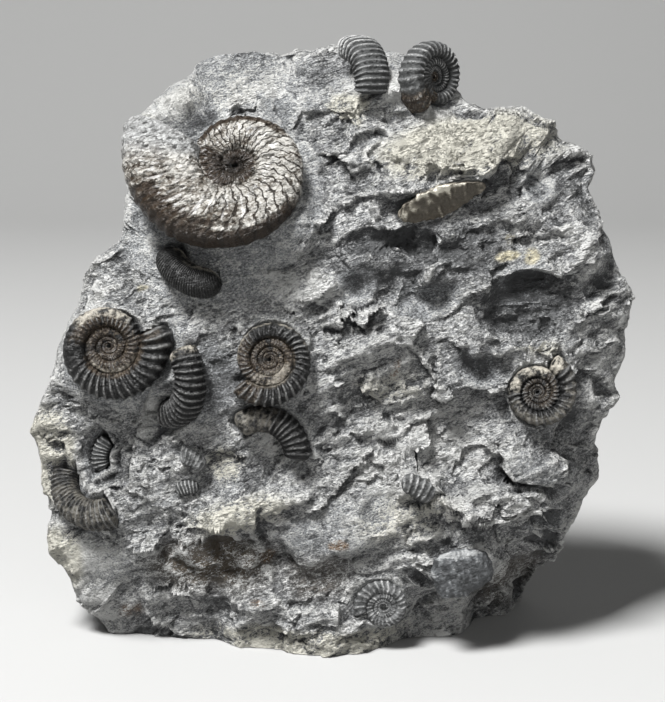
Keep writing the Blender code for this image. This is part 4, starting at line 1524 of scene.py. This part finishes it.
@dataclass(frozen=True)
class NacreShell:
    """The large shell's finish: silvery and brown, glossy, wrinkled, with wavy chamber seams; its raised
    relief and rib crests are silvered partly as painted highlights, and its middle is darkened with painted
    shade.
    """

    silver_and_highlight: Colour = (0.37, 0.36, 0.335)
    dull: Colour = (0.095, 0.083, 0.068)
    brown: Colour = (0.022, 0.014, 0.008)
    seam: Colour = (0.018, 0.013, 0.009)
    pale_rock: Colour = (0.36, 0.365, 0.36)
    mid_rock: Colour = (0.15, 0.15, 0.148)
    seams: float = 32.0
    roughness: float = 0.34
    coat: float = 0.14

    def material(self) -> bpy.types.Material:
        """Makes the material."""
        material, wiring, shader = new_finish("nacre_finish")
        crest, pale, brown = wiring.mask("crest"), wiring.mask("pale"), wiring.mask("brown")
        along_coil, share = wiring.mask("along"), wiring.mask("share")
        large, tone = chips_of(wiring, 2.2)
        small, _ = chips_of(wiring, 0.9)
        clouds = wiring.grain(200.0, 5.0, 0.72)
        fine = wiring.grain(1300.0, 3.0, 0.75)
        seam = self.seam_lines(wiring, along_coil, share, clouds)
        rocky = wiring.ramp(wiring.sum(along_coil, (clouds, 0.06)), 0.135, 0.075)
        relief = wiring.sum((large, 0.2), (small, 0.7), (clouds, 0.8))
        raised = wiring.sum((relief, 1.3), (seam, -0.5), (crest, 0.15))
        tinted = wiring.sum(raised, (brown, -1.4), (fine, 1.8), (pale, 0.40))
        tinted = wiring.sum(tinted, (crest, 0.8))
        # Paler and silver on the raised relief and the rib crests: silvery nacre, with painted highlights.
        colour = wiring.mix(wiring.ramp(tinted, 1.40, 1.80), self.brown, self.dull)
        colour = wiring.mix(wiring.ramp(tinted, 1.75, 2.55), colour, self.silver_and_highlight)
        colour = wiring.mix(wiring.times(seam, 0.8), colour, self.seam)
        # Painted shade: the seam colour darkens the coil's middle, in the deep umbilicus.
        colour = wiring.mix(wiring.ramp(share, 0.28, 0.13), colour, self.seam)
        stony = wiring.ramp(wiring.sum(fine, (small, 0.4)), 0.30, 0.8)
        colour = wiring.mix(rocky, colour, wiring.mix(stony, self.mid_rock, self.pale_rock))
        wiring.put(shader.inputs["Base Color"], colour)
        wiring.put(shader.inputs["Roughness"], wiring.sum(self.roughness, (tone, 0.22), (rocky, 0.35)))
        coat = wiring.math("SUBTRACT", self.coat, wiring.times(rocky, self.coat))
        wiring.put(shader.inputs["Coat Weight"], coat)
        shader.inputs["Coat Roughness"].default_value = 0.22
        shader.inputs["Specular IOR Level"].default_value = 0.28
        wiring.bump(wiring.sum((raised, 1.5), (fine, 0.7)), shader)
        return material

    def seam_lines(self, wiring: Wiring, along_coil: bpy.types.NodeSocket, share: bpy.types.NodeSocket,
                   clouds: bpy.types.NodeSocket) -> bpy.types.NodeSocket:
        """Draws the wavy seams between the shell's chambers.

        Args:
            wiring: The material's wiring.
            along_coil: Turns back from the shell's mouth.
            share: The share of the outer radius.
            clouds: Noise that frays the seams.

        Returns:
            1 on a seam and 0 beside it.
        """
        sway = wiring.times(wiring.math("SINE", wiring.times(share, 8.0)), 0.45)
        lobes = wiring.times(wiring.math("SINE", wiring.times(share, 41.0)), 0.10)
        frill = wiring.times(wiring.math("SUBTRACT", clouds, 0.5), 1.4)
        turns = wiring.sum((along_coil, self.seams), sway, lobes, frill)
        gap = wiring.math("ABSOLUTE", wiring.math("SUBTRACT", wiring.math("FRACT", turns), 0.5))
        return wiring.times(wiring.ramp(gap, 0.13, 0.03), wiring.ramp(along_coil, 0.20, 0.32))


@dataclass
class Studio:
    """The plain floor, in metres, the soft lights, and the camera, in millimetres."""

    target: Place = (0.0, -15.0, 84.6)
    distance: float = 450.0
    elevation: float = 12.0
    lens: float = 82.4
    floor_colour: Colour = (0.34, 0.34, 0.336)
    floor_side: float = 8.0
    floor_height: float = -0.0002
    wall_place: float = 1.6
    corner_radius: float = 0.7
    lamps: tuple[tuple[str, Place, float, float], ...] = (
        ("top_light", (-0.50, -0.58, 1.46), 0.42, 77.0),
        ("front_fill", (0.50, -1.30, 0.60), 1.0, 7.0),
    )
    sky_colour: Colour = (0.90, 0.95, 1.0)
    sky_strength: float = 0.18

    def floor(self) -> bpy.types.Object:
        """Makes the plain pale floor, which sweeps up behind the block.

        Returns:
            The floor.
        """
        deselect_all()
        bpy.ops.mesh.primitive_plane_add(size=self.floor_side, location=(0, 0, self.floor_height))
        floor = bpy.context.active_object
        floor.name = "floor"
        bpy.ops.object.transform_apply(location=True)
        bpy.ops.object.mode_set(mode="EDIT")
        bpy.ops.mesh.select_mode(type="EDGE")
        self.select_back_edge(floor)
        bpy.ops.transform.translate(value=(0, self.wall_place - self.floor_side / 2, 0))
        bpy.ops.mesh.extrude_region_move(TRANSFORM_OT_translate={"value": (0, 0, self.floor_side / 2)})
        self.select_back_edge(floor)
        bpy.ops.mesh.bevel(offset=self.corner_radius, segments=24)
        bpy.ops.object.mode_set(mode="OBJECT")
        floor.data.shade_smooth()
        material, _, shader = new_finish("floor_finish")
        shader.inputs["Base Color"].default_value = (*self.floor_colour, 1.0)
        shader.inputs["Roughness"].default_value = 0.9
        floor.data.materials.append(material)
        return floor

    def select_back_edge(self, floor: bpy.types.Object) -> None:
        """Selects the edge at the back of the floor, at floor height."""
        mesh = bmesh.from_edit_mesh(floor.data)
        back = max(vertex.co.y for vertex in mesh.verts)
        for edge in mesh.edges:
            edge.select_set(all(v.co.y > back - 0.01 and v.co.z < 0.01 for v in edge.verts))
        bmesh.update_edit_mesh(floor.data)

    def light(self, name: str, place: Place, size: float, power: float) -> None:
        """Adds one soft square light that points at the block.

        Args:
            name: Its name.
            place: Where it hangs, in metres.
            size: Its side in metres.
            power: In watts.
        """
        data = bpy.data.lights.new(name, "AREA")
        data.size = size
        data.energy = power
        lamp = bpy.data.objects.new(name, data)
        bpy.context.scene.collection.objects.link(lamp)
        lamp.location = place
        lamp.rotation_euler = (Vector(self.target) * MM - Vector(place)).to_track_quat("-Z", "Y").to_euler()

    def build(self) -> None:
        """Makes the floor, the lights, the sky and the camera."""
        self.floor()
        for lamp in self.lamps:
            self.light(*lamp)
        world = bpy.data.worlds.new("studio")
        world.use_nodes = True
        sky = world.node_tree.nodes["Background"]
        sky.inputs["Color"].default_value = (*self.sky_colour, 1.0)
        sky.inputs["Strength"].default_value = self.sky_strength
        bpy.context.scene.world = world
        bpy.context.scene.view_settings.view_transform = "Standard"
        self.camera()

    def camera(self) -> None:
        """Places the camera in front of the block, at the height of the photograph's."""
        slope = math.radians(self.elevation)
        forward = Vector((0, math.cos(slope), -math.sin(slope)))
        data = bpy.data.cameras.new("camera")
        data.lens = self.lens
        data.clip_start = 0.01
        camera = bpy.data.objects.new("camera", data)
        bpy.context.scene.collection.objects.link(camera)
        camera.location = (Vector(self.target) - forward * self.distance) * MM
        camera.rotation_euler = forward.to_track_quat("-Z", "Y").to_euler()
        bpy.context.scene.camera = camera


def finish_materials() -> dict[Finish, bpy.types.Material]:
    """Makes the material of every finish."""
    dark = ShellStone("dark_calcite_finish", (0.002, 0.002, 0.002), (0.019, 0.019, 0.019),
                      (0.115, 0.115, 0.112), coat=0.03)
    grey = ShellStone("grey_shell_finish", (0.030, 0.031, 0.031), (0.12, 0.122, 0.122), (0.34, 0.34, 0.335),
                      pale=(0.20, 0.202, 0.202), roughness=0.55)
    # The beige finish's brown is the painted shade on the pale shell's lower half.
    beige = ShellStone("beige_shell_finish", (0.075, 0.066, 0.052), (0.19, 0.172, 0.138), (0.58, 0.55, 0.47),
                       brown=(0.085, 0.073, 0.056), roughness=0.5)
    blue = ShellStone("blue_grey_shell_finish", (0.040, 0.042, 0.044), (0.090, 0.095, 0.099),
                      (0.25, 0.255, 0.255), roughness=0.5)
    return {
        Finish.LIMESTONE: Limestone().material(),
        Finish.DARK_CALCITE: dark.material(),
        Finish.BROWN_CALCITE: NacreShell().material(),
        Finish.GREY_SHELL_ROCK: grey.material(),
        Finish.BEIGE_SHELL: beige.material(),
        Finish.BLUE_GREY_SHELL: blue.material(),
    }


def dress(piece: bpy.types.Object, node: str, finish: Finish,
          materials: dict[Finish, bpy.types.Material]) -> None:
    """Gives a piece its material and says which node it stands for.

    Args:
        piece: The new piece.
        node: The CAD node, or nothing for a small piece that only lies on one.
        finish: Its finish.
        materials: The materials by finish.
    """
    piece.data.materials.clear()
    piece.data.materials.append(materials[finish])
    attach(piece, "root")
    if node:
        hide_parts(node)
    faces = sum(len(face.vertices) - 2 for face in piece.data.polygons)
    LOG.info("%s stands for %s with %d triangles", piece.name, node or "no node", faces)


def main() -> None:
    """Builds every piece in order."""
    logging.basicConfig(level=logging.INFO, format="%(name)s: %(message)s")
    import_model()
    materials = finish_materials()
    dress(Rock().build(), "matrix", Finish.LIMESTONE, materials)
    for coil in COILS:
        dress(Shell(coil).build(), coil.name, coil.finish, materials)
    for coil in FRAGMENTS:
        dress(Shell(coil).build(), "", coil.finish, materials)
    for plate in PLATES:
        dress(ShellPlate(plate).build(), plate.name, plate.finish, materials)
    Studio().build()


if __name__ == "__main__":
    main()
